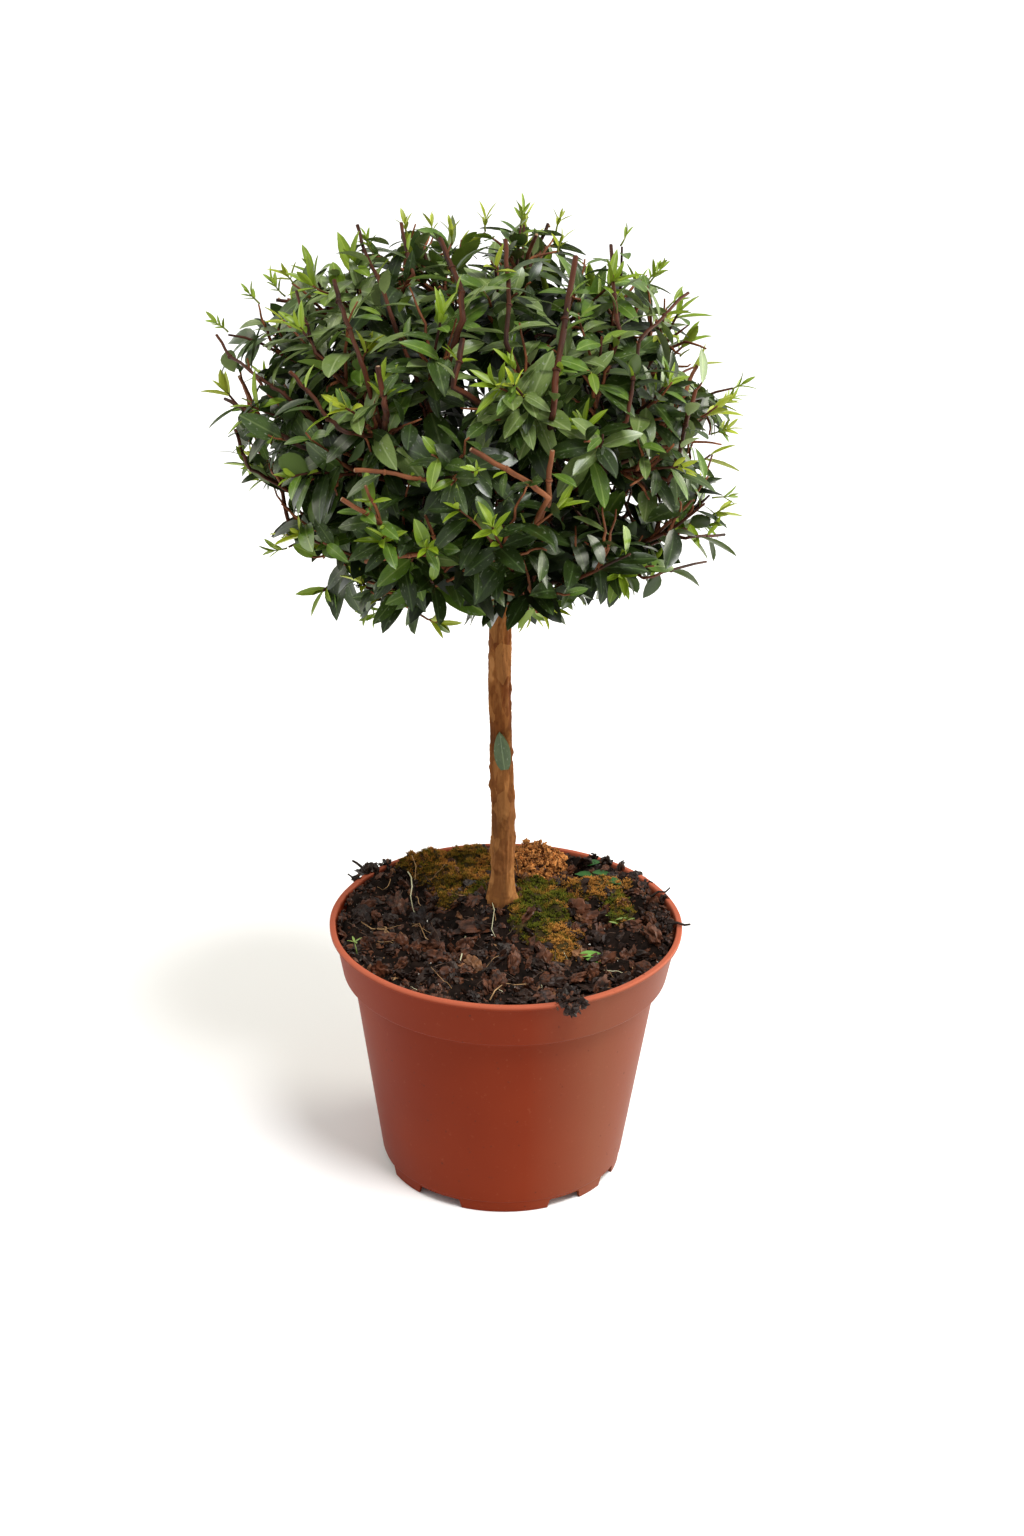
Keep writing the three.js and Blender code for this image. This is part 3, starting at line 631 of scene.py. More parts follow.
def bark_material():
    """Tan flaking bark with red-brown patches; the boughs above are redder and darker."""
    material, tree, shader = new_material("bark", 0.85, (0.229, 0.096, 0.0372), 0.08)
    place = object_place(tree)
    flakes = noise_at(tree, place, 120, 3, 0.6, (1, 1, 0.32))
    strips = noise_at(tree, place, 330, 4, 0.6, (1, 1, 0.12))
    specks = noise_at(tree, place, 800, 2, 0.6, (1, 1, 0.5))
    colour = ramp(tree, flakes, [(0.36, (0.076, 0.020, 0.0050)), (0.42, (0.134, 0.038, 0.0082)),
                                 (0.50, (0.148, 0.047, 0.0103)), (0.53, (0.198, 0.070, 0.0174)),
                                 (0.60, (0.221, 0.082, 0.0215)), (0.64, (0.350, 0.153, 0.0497))])
    plates = node(tree, "ShaderNodeTexVoronoi")
    plates.inputs["Scale"].default_value = 165
    shape = node(tree, "ShaderNodeMapping")
    shape.inputs["Scale"].default_value = (1, 1, 0.5)
    tree.links.new(place, shape.inputs["Vector"])
    tree.links.new(shape.outputs[0], plates.inputs["Vector"])
    plate = node(tree, "ShaderNodeSeparateColor")
    tree.links.new(plates.outputs["Color"], plate.inputs[0])
    height = parts_of(tree, place)[2]
    above = maths(tree, "MULTIPLY", height, 2.0)
    foot = maths(tree, "MULTIPLY", height, 4.0)
    for factor, stops, tint in (
            (plate.outputs[0], [(0.52, 0.0), (0.56, 0.55)], (0.323, 0.139, 0.0427)),
            (plate.outputs[1], [(0.70, 0.0), (0.73, 0.6)], (0.115, 0.029, 0.0066)),
            (strips, [(0.36, 0.55), (0.50, 0.0)], (0.065, 0.020, 0.0058)),
            (strips, [(0.60, 0.0), (0.72, 0.4)], (0.368, 0.162, 0.0521)),
            (specks, [(0.64, 0.0), (0.74, 0.5)], (0.027, 0.010, 0.0041)),
            (above, [(0.50, 0.0), (0.55, 0.85)], (0.053, 0.017, 0.0058)),
            (foot, [(0.46, 0.18), (0.86, 0.0)], (0.520, 0.251, 0.0882))):
        colour = mixed(tree, ramp(tree, factor, stops), colour, tint)
    tree.links.new(colour, shader.inputs["Base Color"])
    add_bump(tree, shader, strips, 0.45, 0.0005)
    return material


def pot_material():
    """Satin plastic, paler towards its right side as painted light and along the top of its lip as a
    painted highlight, with specks and fine scuffs.
    """
    material, tree, shader = new_material("pot_plastic", 0.5, (0.2, 0.03, 0.01), 0.06)
    place = object_place(tree)
    cloud = noise_at(tree, place, 13, 3, 0.5)
    colour = mixed(tree, ramp(tree, cloud, [(0.35, 0.0), (0.7, 1.0)]),
                   (0.168, 0.0195, 0.0045), (0.205, 0.0275, 0.0070))
    x, _, z = parts_of(tree, place)
    # Painted light: the pot grows paler towards its right side, where the light falls.
    painted_side_light = maths(tree, "MULTIPLY", x, 10.0)
    # Painted highlight: the top of the lip is paler, as lit from above.
    lip = maths(tree, "MULTIPLY", z, 8.0)
    fine = noise_at(tree, place, 420, 3, 0.6)
    dirt = noise_at(tree, place, 560, 2, 0.5)
    scuff = noise_at(tree, place, 60, 4, 0.7, (1, 1, 5))
    for factor, stops, tint in (
            # the painted light on the right side
            (painted_side_light, [(0.10, 0.0), (0.40, 0.46), (0.64, 0.34)], (0.205, 0.092, 0.052)),
            # the painted highlight along the top of the lip
            (lip, [(0.893, 0.0), (0.901, 0.8)], (0.46, 0.115, 0.060)),
            (fine, [(0.64, 0.0), (0.78, 0.22)], (0.36, 0.11, 0.06)),
            (dirt, [(0.71, 0.0), (0.77, 0.8)], (0.07, 0.02, 0.012)),
            (scuff, [(0.70, 0.0), (0.80, 0.25)], (0.34, 0.10, 0.06))):
        colour = mixed(tree, ramp(tree, factor, stops), colour, tint)
    tree.links.new(colour, shader.inputs["Base Color"])
    tree.links.new(ramp(tree, cloud, [(0.3, 0.38), (0.7, 0.50)]), shader.inputs["Roughness"])
    add_bump(tree, shader, noise_at(tree, place, 900, 2, 0.5), 0.06, 0.0003)
    return material


# ------------------------------------------------------------------ leaves

# Stations along a blade, and its half width there as a share of the widest.
BLADE_STATIONS = [0.0, 0.07, 0.2, 0.38, 0.56, 0.74, 0.9, 1.0]
BLADE_WIDTHS = [0.10, 0.18, 0.70, 0.98, 1.0, 0.84, 0.48, 0.04]
SHOOT_STATIONS = [0.0, 0.2, 0.5, 0.8, 1.0]
SHOOT_WIDTHS = [0.25, 0.8, 1.0, 0.65, 0.05]


def blade_shape(stations, widths, slim, droop, fold, twist):
    """A blade 1 long: along X, across Y, facing Z; upper and lower sheets."""
    upper, lower, places = [], [], []
    for s, w in zip(stations, widths):
        half = w * slim / 2
        lean = twist * (s - 0.3)
        drop = -droop * s * s + 0.25 * droop * s
        for side in (-1, 0, 1):
            y = side * half
            z = drop + abs(side) * half * fold + y * lean
            upper.append((s, y, z))
            thick = 0.012 if side == 0 else 0.0
            lower.append((s, y, z - thick))
            places.append((0.5 + 0.46 * side * w, 0.04 + 0.92 * s))
    faces_up, faces_down = [], []
    count = len(upper)
    for i in range(len(stations) - 1):
        for k in (0, 1):
            a = i * 3 + k
            faces_up.append((a, a + 3, a + 4, a + 1))
            faces_down.append((count + a + 1, count + a + 4, count + a + 3, count + a))
    return np.array(upper + lower), faces_up + faces_down, np.array(places)


def blade_shapes(count, seed, stations, widths, slim, droop, fold, twist):
    """Different blades; width, droop and fold are each a least value and a range above it."""
    draw = seeded(seed)
    shapes = []
    for _ in range(count):
        values = [least + more * draw() for least, more in (slim, droop, fold)]
        shapes.append(blade_shape(stations, widths, *values, twist * (draw() - 0.5)))
    return shapes


LEAF_SHAPES = blade_shapes(14, SEED + 31, BLADE_STATIONS, BLADE_WIDTHS,
                           (0.33, 0.13), (0.12, 0.38), (0.05, 0.32), 0.7)
SHOOT_SHAPES = blade_shapes(8, SEED + 32, SHOOT_STATIONS, SHOOT_WIDTHS,
                            (0.21, 0.12), (-0.06, 0.28), (0.35, 0.3), 0.3)


def add_leaf(pile, shapes, draw, root, out, face, length):
    """One leaf: its root, the way it points, the way its upper side looks."""
    verts, faces, places = shapes[int(draw() * len(shapes)) % len(shapes)]
    across = unit(np.cross(face, out))
    face = np.cross(out, across)
    turned = verts @ np.array([out, across, face]) * length + root
    cell = int(draw() * CELLS * (CELLS - 1))
    above = np.array([cell % CELLS, cell // CELLS])
    below = np.array([int(draw() * CELLS), CELLS - 1])
    pile.add(turned, faces, np.concatenate([(places + above) / CELLS, (places + below) / CELLS]))


# ------------------------------------------------------------------ crown

LEAF_KINDS = ["leaf_painted_shade", "leaf_dark", "leaf_painted_sheen", "leaf_mid", "leaf_fresh"]

# Base, lighter and rib colours of each kind of leaf, and how much dried spray lies on it.
LEAF_COLOURS = {
    # Painted shade: near-black leaves for the inner shoots, deep in the crown's shade.
    "leaf_painted_deep_shade": ((0.005, 0.010, 0.002), (0.010, 0.019, 0.003), (0.02, 0.035, 0.008), 0.0),
    # Painted shade: a darkened copy of the leaves, for low and inner shoots where the crown is shaded.
    "leaf_painted_shade": ((0.011, 0.023, 0.0025), (0.021, 0.041, 0.005), (0.06, 0.10, 0.028), 0.5),
    "leaf_dark": ((0.025, 0.050, 0.0055), (0.047, 0.085, 0.012), (0.12, 0.17, 0.05), 0.8),
    # Painted sheen: pale grey-green leaves stand for the grey highlights of glossy lit leaves; their dried
    # spray is real.
    "leaf_painted_sheen": ((0.098, 0.150, 0.034), (0.172, 0.236, 0.064), (0.29, 0.36, 0.15), 1.0),
    "leaf_mid": ((0.060, 0.120, 0.010), (0.105, 0.188, 0.021), (0.22, 0.31, 0.07), 0.6),
    "leaf_fresh": ((0.10, 0.170, 0.009), (0.155, 0.24, 0.015), (0.27, 0.36, 0.07), 0.2),
    "shoot_lime": ((0.15, 0.235, 0.006), (0.22, 0.32, 0.010), (0.32, 0.42, 0.05), 0.0),
    "shoot_yellow": ((0.24, 0.29, 0.008), (0.34, 0.40, 0.014), (0.44, 0.50, 0.07), 0.0),
}
STEM_COLOURS = {
    "stem_red": ((0.085, 0.025, 0.009), (0.24, 0.082, 0.030)),
    "stem_brown": ((0.017, 0.0046, 0.0016), (0.085, 0.022, 0.0070)),
    "stem_green": ((0.10, 0.13, 0.02), (0.22, 0.24, 0.05)),
    "cut_face": ((0.22, 0.13, 0.07), (0.42, 0.27, 0.16)),
}
PILES = {kind: Pile() for kind in [*LEAF_COLOURS, *STEM_COLOURS]}

# Heights that part the crown, and how far each kind of leaf reaches in a part's shares. The low part takes
# more darkened leaves as painted shade, the top more pale ones as painted light.
LOW_SPRAYS = 308.0
HIGH_SPRAYS = 368.0
SHADED_LOW_SHARES = (0.62, 0.92, 0.97, 0.99, 1.01)
SPRAY_SHARES = (0.52, 0.79, 0.91, 0.97, 1.01)
LIT_HIGH_SHARES = (0.05, 0.28, 0.80, 0.96, 1.01)


def spray_kind(draw, height):
    """The leaf colour of one spray: darker leaves low in the crown as painted shade, paler ones on top as
    painted light.
    """
    shares = LIT_HIGH_SHARES if height > HIGH_SPRAYS else SHADED_LOW_SHARES if height < LOW_SPRAYS else SPRAY_SHARES
    value = draw()
    return next(kind for kind, upto in zip(LEAF_KINDS, shares) if value < upto)


def clear_of_trunk(point):
    """Whether a leaf's tip is off the bare trunk."""
    if point[2] > FORK[2] + 4:
        return True
    centre = trunk_centre(max(point[2], TRUNK_FOOT[2]))
    return math.hypot(point[0] - centre[0], point[1] - centre[1]) > TWIG_CLEARANCE


def bare_points():
    """Points along the bare stems, which the leaves keep clear of."""
    points = []
    for _, _, route in BARE_STEMS:
        first = 0 if route[-1][2] < 360 else len(route) // 2
        for a, b in list(zip(route, route[1:]))[first:]:
            a, b = np.array(a, float), np.array(b, float)
            points += [a + (b - a) * k / 4 for k in range(4)]
        points.append(np.array(route[-1], float))
    return np.array(points)


STEM_POINTS = bare_points()


def clear_of_stems(*points):
    """Whether a leaf leaves the bare stems in sight."""
    return all(np.min(np.sum((STEM_POINTS - point) ** 2, axis=1)) > STEM_ROOM ** 2 for point in points)


SKY_LINE = direction(0, SKY_LINE_FALL)
GAP_CENTRES = np.array([(x, CROWN_CENTRE[1], z) for x, z, _ in SKY_GAPS])
GAP_RADII = np.array([radius for _, _, radius in SKY_GAPS])


def clear_of_gaps(*points):
    """Whether a leaf keeps out of the openings where the sky shows."""
    for point in points:
        away = point - GAP_CENTRES
        along = away @ SKY_LINE
        square = np.sum(away * away, axis=1) - along * along
        if np.any(square < GAP_RADII ** 2):
            return False
    return True


def place_leaf(pile, shapes, draw, route, t, turn, spread, length,
               limit=1.03, radius=0.6, hang=0.36, apart=True):
    """A leaf on a twig of some radius, unless it would pass the limit or close a gap."""
    root = route(t)
    along = unit(route(min(1.0, t + 0.04)) - route(max(0.0, t - 0.04)))
    side = beside(along, turn)
    out = along * math.cos(math.radians(spread)) + side * math.sin(math.radians(spread))
    outward = unit(root - CROWN_CENTRE)
    out = unit(out + outward * 0.10 - np.array([0, 0, hang]))
    face = along * 0.55 + np.array([0, 0, 0.6]) + outward * 0.35
    face = face + 0.5 * jitter(draw)
    face = unit(face - out * np.dot(face, out))
    tip = root + out * length
    if outness(tip) > limit or not clear_of_trunk(tip):
        return
    middle = root + out * length * 0.5
    if apart and not clear_of_stems(middle, root + out * length * 0.85):
        return
    if clear_of_gaps(middle, tip):
        add_leaf(pile, shapes, draw, root + side * radius * 0.6, out, face, length)


def grow_leaves(route, length, draw, leafy, kind, tuft, size=1.0):
    """Opposite pairs of leaves down a shoot, each pair turned from the last."""
    first = draw() * 360
    pairs = max(2, int(min(leafy, length * 0.8) / LEAF_SPACING))
    for pair in range(pairs):
        back = 3.0 + LEAF_SPACING * (pair + 0.35 * (draw() - 0.5))
        t = 1 - back / length
        if t < 0.12:
            break
        grown = min(1.0, 0.6 + 0.18 * pair)
        for half in (0, 180):
            if draw() < LEAF_MISSING:
                continue
            turn = first + 90 * pair + half + 26 * (draw() - 0.5)
            spread = 42 + 6 * pair + 26 * (draw() - 0.3)
            length_now = LEAF_LENGTH * size * grown * (0.74 + 0.42 * draw())
            pile = kind
            if pair == 0 and tuft:
                pile = "leaf_fresh" if draw() < LEAF_FRESH else "leaf_mid"
            elif draw() < LEAF_OTHER:
                pile = spray_kind(draw, route(1.0)[2])
            place_leaf(PILES[pile], LEAF_SHAPES, draw, route, t, turn, min(spread, 88), length_now)


def grow_tuft(route, length, draw):
    """The young leaves at a shoot's tip, and the buds in the axils under it."""
    pile = PILES["shoot_lime" if draw() < 0.6 else "shoot_yellow"]
    turn = draw() * 360
    for level in range(2 + int(draw() * 1.6)):
        for half in (0, 180):
            spread = 16 + 20 * level + 14 * draw()
            long = 6.5 + 6 * draw() + 1.5 * level
            t = 1.0 - 1.8 * level / length
            place_leaf(pile, SHOOT_SHAPES, draw, route, t, turn + 90 * level + half + 20 * draw(),
                       spread, long, 1.12, 0.2, -0.1)
    if draw() < 0.4:
        t = 1 - (8 + 8 * draw()) / length
        for half in (0, 180):
            place_leaf(pile, SHOOT_SHAPES, draw, route, t, turn + half + 45, 30 + 20 * draw(),
                       6 + 5 * draw(), 1.1, 0.4, -0.1)


def grow_sprig(start, out, draw):
    """A thin green shoot with small narrow leaves, as stands at the crown's edge."""
    length = 4 + 3 * draw()
    end = start + unit(out + np.array([0, 0, 0.4])) * length
    bend = (start + end) / 2 + np.array([draw() - 0.5, draw() - 0.5, 0]) * 2

    def route(t):
        return bezier(start, bend, end, t)

    tube(PILES["stem_green"], [route(k / 4) for k in range(5)], [0.42, 0.4, 0.36, 0.3, 0.26], 5)
    turn = draw() * 360
    pile = PILES["shoot_lime" if draw() < 0.55 else "shoot_yellow"]
    for pair in range(3):
        t = 0.45 + 0.27 * pair
        for half in (0, 180):
            spread = 50 - 14 * pair + 12 * draw()
            place_leaf(pile, SHOOT_SHAPES, draw, route, t, turn + 90 * pair + half, spread,
                       4.5 + 3.5 * draw(), 1.25, 0.2, -0.15)


def wander(route, draw, amount):
    """The route with small kinks at its joints."""
    joints = 6
    shifts = [jitter(draw) * amount for _ in range(joints + 1)]

    def bent(t):
        t = min(1.0, max(0.0, t))
        place = t * joints
        i = min(joints - 1, int(place))
        part = place - i
        shift = shifts[i] * (1 - part) + shifts[i + 1] * part
        return route(t) + shift * min(1.0, joints * t)

    return bent


def stem_tube(pile, route, ends, steps, sides):
    """A twig along a route, from its radius at the root to that at the tip."""
    start, end = ends
    points = [route(i / steps) for i in range(steps + 1)]
    radii = [start + (end - start) * i / steps for i in range(steps + 1)]
    tube(pile, points, radii, sides)


def nearest_twig(parents, point):
    """The route of the main twig that ends nearest to a point."""
    return min(parents, key=lambda twig: float(np.linalg.norm(twig[1] - point)))[0]


def branch_route(parents, end, draw, back=0.35):
    """A side shoot's route from the nearest main twig to its own end, and its length."""
    parent = nearest_twig(parents, end)
    joins = back + 0.4 * draw()
    start = parent(joins)
    ahead = unit(parent(min(1.0, joins + 0.1)) - start)
    span = float(np.linalg.norm(end - start))
    bend = start + (end - start) * 0.4 + ahead * span * 0.22
    return wander(lambda t: bezier(start, bend, end, t), draw, 1.8), span


def grow_axil(route, t, turn, draw):
    """One or two small leaves where a cut stem breaks again."""
    for _ in range(1 + int(draw() * 2)):
        young = draw() < 0.4
        pile = PILES["shoot_lime" if young else "leaf_mid" if draw() < 0.4 else "leaf_dark"]
        length = 6 + 5 * draw() if young else 8 + 8 * draw()
        shapes = SHOOT_SHAPES if young else LEAF_SHAPES
        place_leaf(pile, shapes, draw, route, t, turn + 30 * (draw() - 0.5), 40 + 40 * draw(), length,
                   1.12, 0.9, 0.1, False)


def straight(a, b):
    """The straight route from a to b."""
    return lambda t: a + (b - a) * t


def clothe_stem(points, radius, draw):
    """Pairs of leaves up a cut stem, all but its top."""
    for a, b in zip(points[:-1], points[1:]):
        route = straight(a, b)
        pairs = max(1, int(float(np.linalg.norm(b - a)) / STEM_LEAF_SPACING))
        for pair in range(pairs):
            t = (pair + 0.2 + 0.5 * draw()) / pairs
            if b is points[-1] and t > 0.55:
                continue
            kind, turn = spray_kind(draw, a[2]), draw() * 360
            for half in (0, 180):
                if draw() < 0.8:
                    place_leaf(PILES[kind], LEAF_SHAPES, draw, route, t, turn + half, 48 + 30 * draw(),
                               10 + 8 * draw(), 1.10, radius, 0.1, False)


def grow_bare_stems(parents, draw):
    """Stems cut by the shears, with small leaves in the axils below their blunt ends."""
    for start, end, points in BARE_STEMS:
        points = [np.array(p, float) for p in points]
        kind = "stem_red" if points[-1][2] < 360 and points[-1][1] < -50 else "stem_brown"
        inner = nearest_twig(parents, points[0])(0.45)
        steps = [inner + (points[0] - inner) * k / 3 for k in range(3)] + points
        smooth = []
        for a, b in zip(steps, steps[1:]):
            for k in range(3):
                smooth.append(a + (b - a) * k / 3 + jitter(draw) * (0.3 if k == 0 else 1.0))
        smooth.append(steps[-1])
        radii = [(start * 1.1 + (end - start) * k / (len(smooth) - 1)) * (0.9 + 0.2 * draw())
                 for k in range(len(smooth))]
        tube(PILES[kind], smooth, radii, 9)
        ring = unit(points[-1] - points[0])
        route = straight(points[0], points[-1])
        for node_at in points[1:-1]:
            tube(PILES[kind], [node_at - ring * 0.8, node_at, node_at + ring * 0.8],
                 [start * 0.9, start * 1.35, start * 0.9], 9)
            turn = draw() * 360
            for half in (0, 180):
                t = float(np.dot(node_at - points[0], ring)) / float(np.linalg.norm(points[-1] - points[0]))
                if draw() < 0.75:
                    grow_axil(route, t, turn + half, draw)
        if kind == "stem_brown":
            clothe_stem(points, start, draw)
        away = unit(points[-1] - points[-2])
        face = [points[-1] - away * 0.3, points[-1] + away * 0.12]
        tube(PILES["cut_face"], face, [end * 0.8, end * 0.7], 9)
    for tip in shoot_ends(CUT_STEM_COUNT, SEED + 4, CUT_REACH):
        if tip[1] < 0:
            continue
        route, _ = branch_route(parents, tip, draw)
        kind = "stem_red" if draw() < 0.5 else "stem_brown"
        stem_tube(PILES[kind], route, CUT_TWIG, 9, 8)
        out = unit(route(1.0) - route(0.92))
        tube(PILES["cut_face"], [tip - out * 0.3, tip + out * 0.15], [0.68, 0.62], 8)


def grow_crown():
    """Stems, main shoots, sprigs, side shoots, inner shoots and cut stems, in that order."""
    draw = seeded(SEED + 500)
    routes = []
    for bough in BOUGHS:
        stem_length = (bough["reach"] - bough["end"]) * STEM_SHARE
        start = FORK + bough["along"] * bough["end"]
        stop = start + bough["along"] * (stem_length + GAP)
        tube(PILES["stem_brown"], [start + (stop - start) * i / 5 for i in range(6)],
             [1.7 - 0.08 * i for i in range(6)], 8)
    for end, tip in main_shoot_ends():
        end = end if tip is None else tip
        route = wander(twig_route(share_of(end), end), draw, 2.2)
        length = float(np.linalg.norm(route(1.0) - route(0.0)))
        routes.append((route, end))
        stem_tube(PILES["stem_brown"], route, MAIN_TWIG, 9, 7)
        grow_leaves(route, length, draw, LEAFY_LENGTH, spray_kind(draw, end[2]), True)
        if tip is not None:
            grow_sprig(end, unit(end - CROWN_CENTRE), draw)
        elif draw() < MAIN_TUFT:
            grow_tuft(route, length, draw)
    tips = [np.array(tip, float) - unit(tip - CROWN_CENTRE) * SPRIG_ROOM for tip in SPRIG_TIPS]
    tips += [end for end in shoot_ends(BACK_SPRIG_COUNT, SEED + 6, MAIN_REACH)
             if end[1] > CROWN_CENTRE[1] + 12]
    for end in tips:
        route, span = branch_route(routes, end, draw)
        stem_tube(PILES["stem_red"], route, SIDE_TWIG, 8, 6)
        grow_leaves(route, span, draw, LEAFY_LENGTH, spray_kind(draw, end[2]), True, 0.85)
        grow_sprig(end, unit(end - CROWN_CENTRE), draw)
    for end in shoot_ends(SIDE_SHOOT_COUNT, SEED + 2, SIDE_REACH):
        route, span = branch_route(routes, end, draw)
        stem_tube(PILES["stem_red"], route, SIDE_TWIG, 8, 6)
        outer = outness(end) > OUTER_SHOOTS
        # Inner side shoots get the darkened leaves as painted shade.
        kind = spray_kind(draw, end[2]) if outer else "leaf_painted_shade"
        grow_leaves(route, span, draw, LEAFY_LENGTH, kind, outer and draw() < 0.5)
        if draw() < (OUTER_TUFT if outer else INNER_TUFT):
            grow_tuft(route, span, draw)
    for end in shoot_ends(INNER_SHOOT_COUNT, SEED + 3, INNER_REACH):
        route, span = branch_route(routes, end, draw, 0.1)
        stem_tube(PILES["stem_brown"], route, INNER_TWIG, 6, 5)
        # Their near-black leaves are painted shade.
        grow_leaves(route, span, draw, LEAFY_LENGTH, "leaf_painted_deep_shade", False, 1.1)
    grow_bare_stems(routes, draw)


def make_crown():
    """Grows the crown; the first pile of leaves stands for all the solids' masses."""
    grow_crown()
    masses = [f"foliage_{bough['name']}" for bough in BOUGHS]
    for kind, (dark, light, rib, stain) in LEAF_COLOURS.items():
        material = leaf_material(kind, dark, light, rib, stain, 0.31 if stain else 0.42)
        make_piece(kind, PILES[kind], material, masses)
        masses = ()
    make_pieces(PILES, STEM_COLOURS, "bark", twig_material, 0.6)


# ------------------------------------------------------------------ pot

POT_HEIGHT = 113.2
RIM_RADIUS = 75.0
LIP_WIDTH = 2.4
FLANGE_HEIGHT = 2.2
COLLAR_TOP_RADIUS = 73.0
COLLAR_FOOT_RADIUS = 69.5
COLLAR_FOOT_Z = 91.6
BODY_TOP_RADIUS = 65.3
BODY_FOOT_RADIUS = 52.4
FOOT_HEIGHT = 5.6
FOOT_INSET = 0.45
WALL = 1.5
FLOOR_Z = 4.0
FLOOR_THICKNESS = 1.6
CENTRE_DISC_RADIUS = 20.5
FOOT_NOTCHES = [(-80, 22), (-31, 15), (32, 11), (62, 8), (115, 15), (160, 12), (-145, 15)]
DRAIN_RADIUS = 4.5
DRAIN_RING_RADIUS = 38.0
DRAIN_SIDES = 28
POT_SIDES = 180
SHARP_ANGLE = 32

COLLAR_SLOPE = (COLLAR_TOP_RADIUS - COLLAR_FOOT_RADIUS) / (POT_HEIGHT - FLANGE_HEIGHT - COLLAR_FOOT_Z)
BODY_SLOPE = (BODY_TOP_RADIUS - BODY_FOOT_RADIUS) / (COLLAR_FOOT_Z - FOOT_HEIGHT)


def inside_radius(z):
    """The radius of the inside of the pot's wall at a height."""
    if z > COLLAR_FOOT_Z + WALL:
        return COLLAR_FOOT_RADIUS - WALL + (z - COLLAR_FOOT_Z) * COLLAR_SLOPE
    return BODY_FOOT_RADIUS - WALL + (z - FOOT_HEIGHT) * BODY_SLOPE


def pot_profile():
    """Radius, height and rounding of each corner, from the underside up and back down inside."""
    floor_top = FLOOR_Z + FLOOR_THICKNESS
    flange_z = POT_HEIGHT - FLANGE_HEIGHT
    foot = BODY_FOOT_RADIUS - FOOT_INSET
    ledge = COLLAR_FOOT_Z + WALL
    return [
        (0, 0, 0),
        (CENTRE_DISC_RADIUS, 0, 0.5),
        (CENTRE_DISC_RADIUS + 1.6, FLOOR_Z, 0.5),
        (foot - WALL - 0.5, FLOOR_Z, 0.4),
        (foot - WALL - 0.7, 0, 0.15),
        (foot - 0.6, 0, 0.4),
        (foot, FOOT_HEIGHT - 0.5, 0.25),
        (BODY_FOOT_RADIUS, FOOT_HEIGHT, 0.3),
        (BODY_TOP_RADIUS - 2 * BODY_SLOPE, COLLAR_FOOT_Z - 2, 1.5),
        (BODY_TOP_RADIUS + 0.9, COLLAR_FOOT_Z, 0.6),
        (COLLAR_FOOT_RADIUS - 0.2, COLLAR_FOOT_Z + 0.1, 0.9),
        (COLLAR_TOP_RADIUS, flange_z, 0.5),
        (RIM_RADIUS - 0.1, flange_z + 0.1, 0.5),
        (RIM_RADIUS, POT_HEIGHT, 0.8),
        (RIM_RADIUS - LIP_WIDTH, POT_HEIGHT, 0.5),
        (inside_radius(ledge + 0.1), ledge, 0.8),
        (inside_radius(ledge - 2), ledge - 2, 0.5),
        (inside_radius(floor_top + 1), floor_top + 1, 0.4),
        (inside_radius(floor_top) - 0.8, floor_top, 0.3),
        (CENTRE_DISC_RADIUS + 3, floor_top, 0.4),
        (CENTRE_DISC_RADIUS + 1.2, FLOOR_THICKNESS, 0.4),
        (0, FLOOR_THICKNESS, 0),
    ]


def rounded(profile):
    """The profile with its corners rounded."""
    steps = 4
    corners = [np.array(corner[:2], float) for corner in profile]
    out = [corners[0]]
    for i in range(1, len(profile) - 1):
        corner, bend = corners[i], profile[i][2]
        ends = []
        for other in (corners[i - 1], corners[i + 1]):
            gap = np.linalg.norm(other - corner)
            ends.append(corner + (other - corner) * min(bend / gap, 0.45))
        out += [bezier(ends[0], corner, ends[1], k / steps) for k in range(steps + 1)]
    return out + [corners[-1]]


def lathe_mesh(points, sides, bend):
    """A closed mesh turned about Z; bend gives a radius its small departure from round."""
    bm = bmesh.new()
    rings = []
    for r, z in points:
        if r == 0:
            rings.append([bm.verts.new(Vector((0, 0, z * MM)))])
            continue
        ring = []
        for k in range(sides):
            turn = 2 * math.pi * k / sides
            radius = r + bend(r, z, turn)
            ring.append(bm.verts.new(Vector((radius * math.cos(turn), radius * math.sin(turn), z)) * MM))
        rings.append(ring)
    for low, high in zip(rings, rings[1:]):
        for k in range(sides):
            j = (k + 1) % sides
            if len(low) == 1:
                bm.faces.new((low[0], high[j], high[k]))
            elif len(high) == 1:
                bm.faces.new((low[k], low[j], high[0]))
            else:
                bm.faces.new((low[k], low[j], high[j], high[k]))
    bmesh.ops.recalc_face_normals(bm, faces=bm.faces)
    return mesh_of(bm, "turned")


def pot_cutters():
    """The notches of the foot ring and the drain holes behind them."""
    bm = bmesh.new()
    foot = BODY_FOOT_RADIUS - FOOT_INSET
    inner, outer = foot - WALL - 3, RIM_RADIUS
    for middle, width in FOOT_NOTCHES:
        half = math.tan(math.radians(width / 2)) * outer
        turn = Matrix.Rotation(math.radians(middle), 4, "Z")
        corners = [(-half - 1.2, -1), (half + 1.2, -1), (half, FLOOR_Z + 0.2), (-half, FLOOR_Z + 0.2)]
        near = [bm.verts.new(turn @ (Vector((x, -inner, z)) * MM)) for x, z in corners]
        far = [bm.verts.new(turn @ (Vector((x, -outer, z)) * MM)) for x, z in corners]
        bm.faces.new(near[::-1])
        bm.faces.new(far)
        for k in range(4):
            j = (k + 1) % 4
            bm.faces.new((near[k], near[j], far[j], far[k]))
        place = turn @ Vector((0, -DRAIN_RING_RADIUS, FLOOR_Z + FLOOR_THICKNESS / 2))
        bmesh.ops.create_cone(bm, cap_ends=True, segments=DRAIN_SIDES, radius1=DRAIN_RADIUS * MM,
                              radius2=DRAIN_RADIUS * MM, depth=6 * MM,
                              matrix=Matrix.Translation(place * MM))
    bmesh.ops.recalc_face_normals(bm, faces=bm.faces)
    return mesh_of(bm, "cutters")


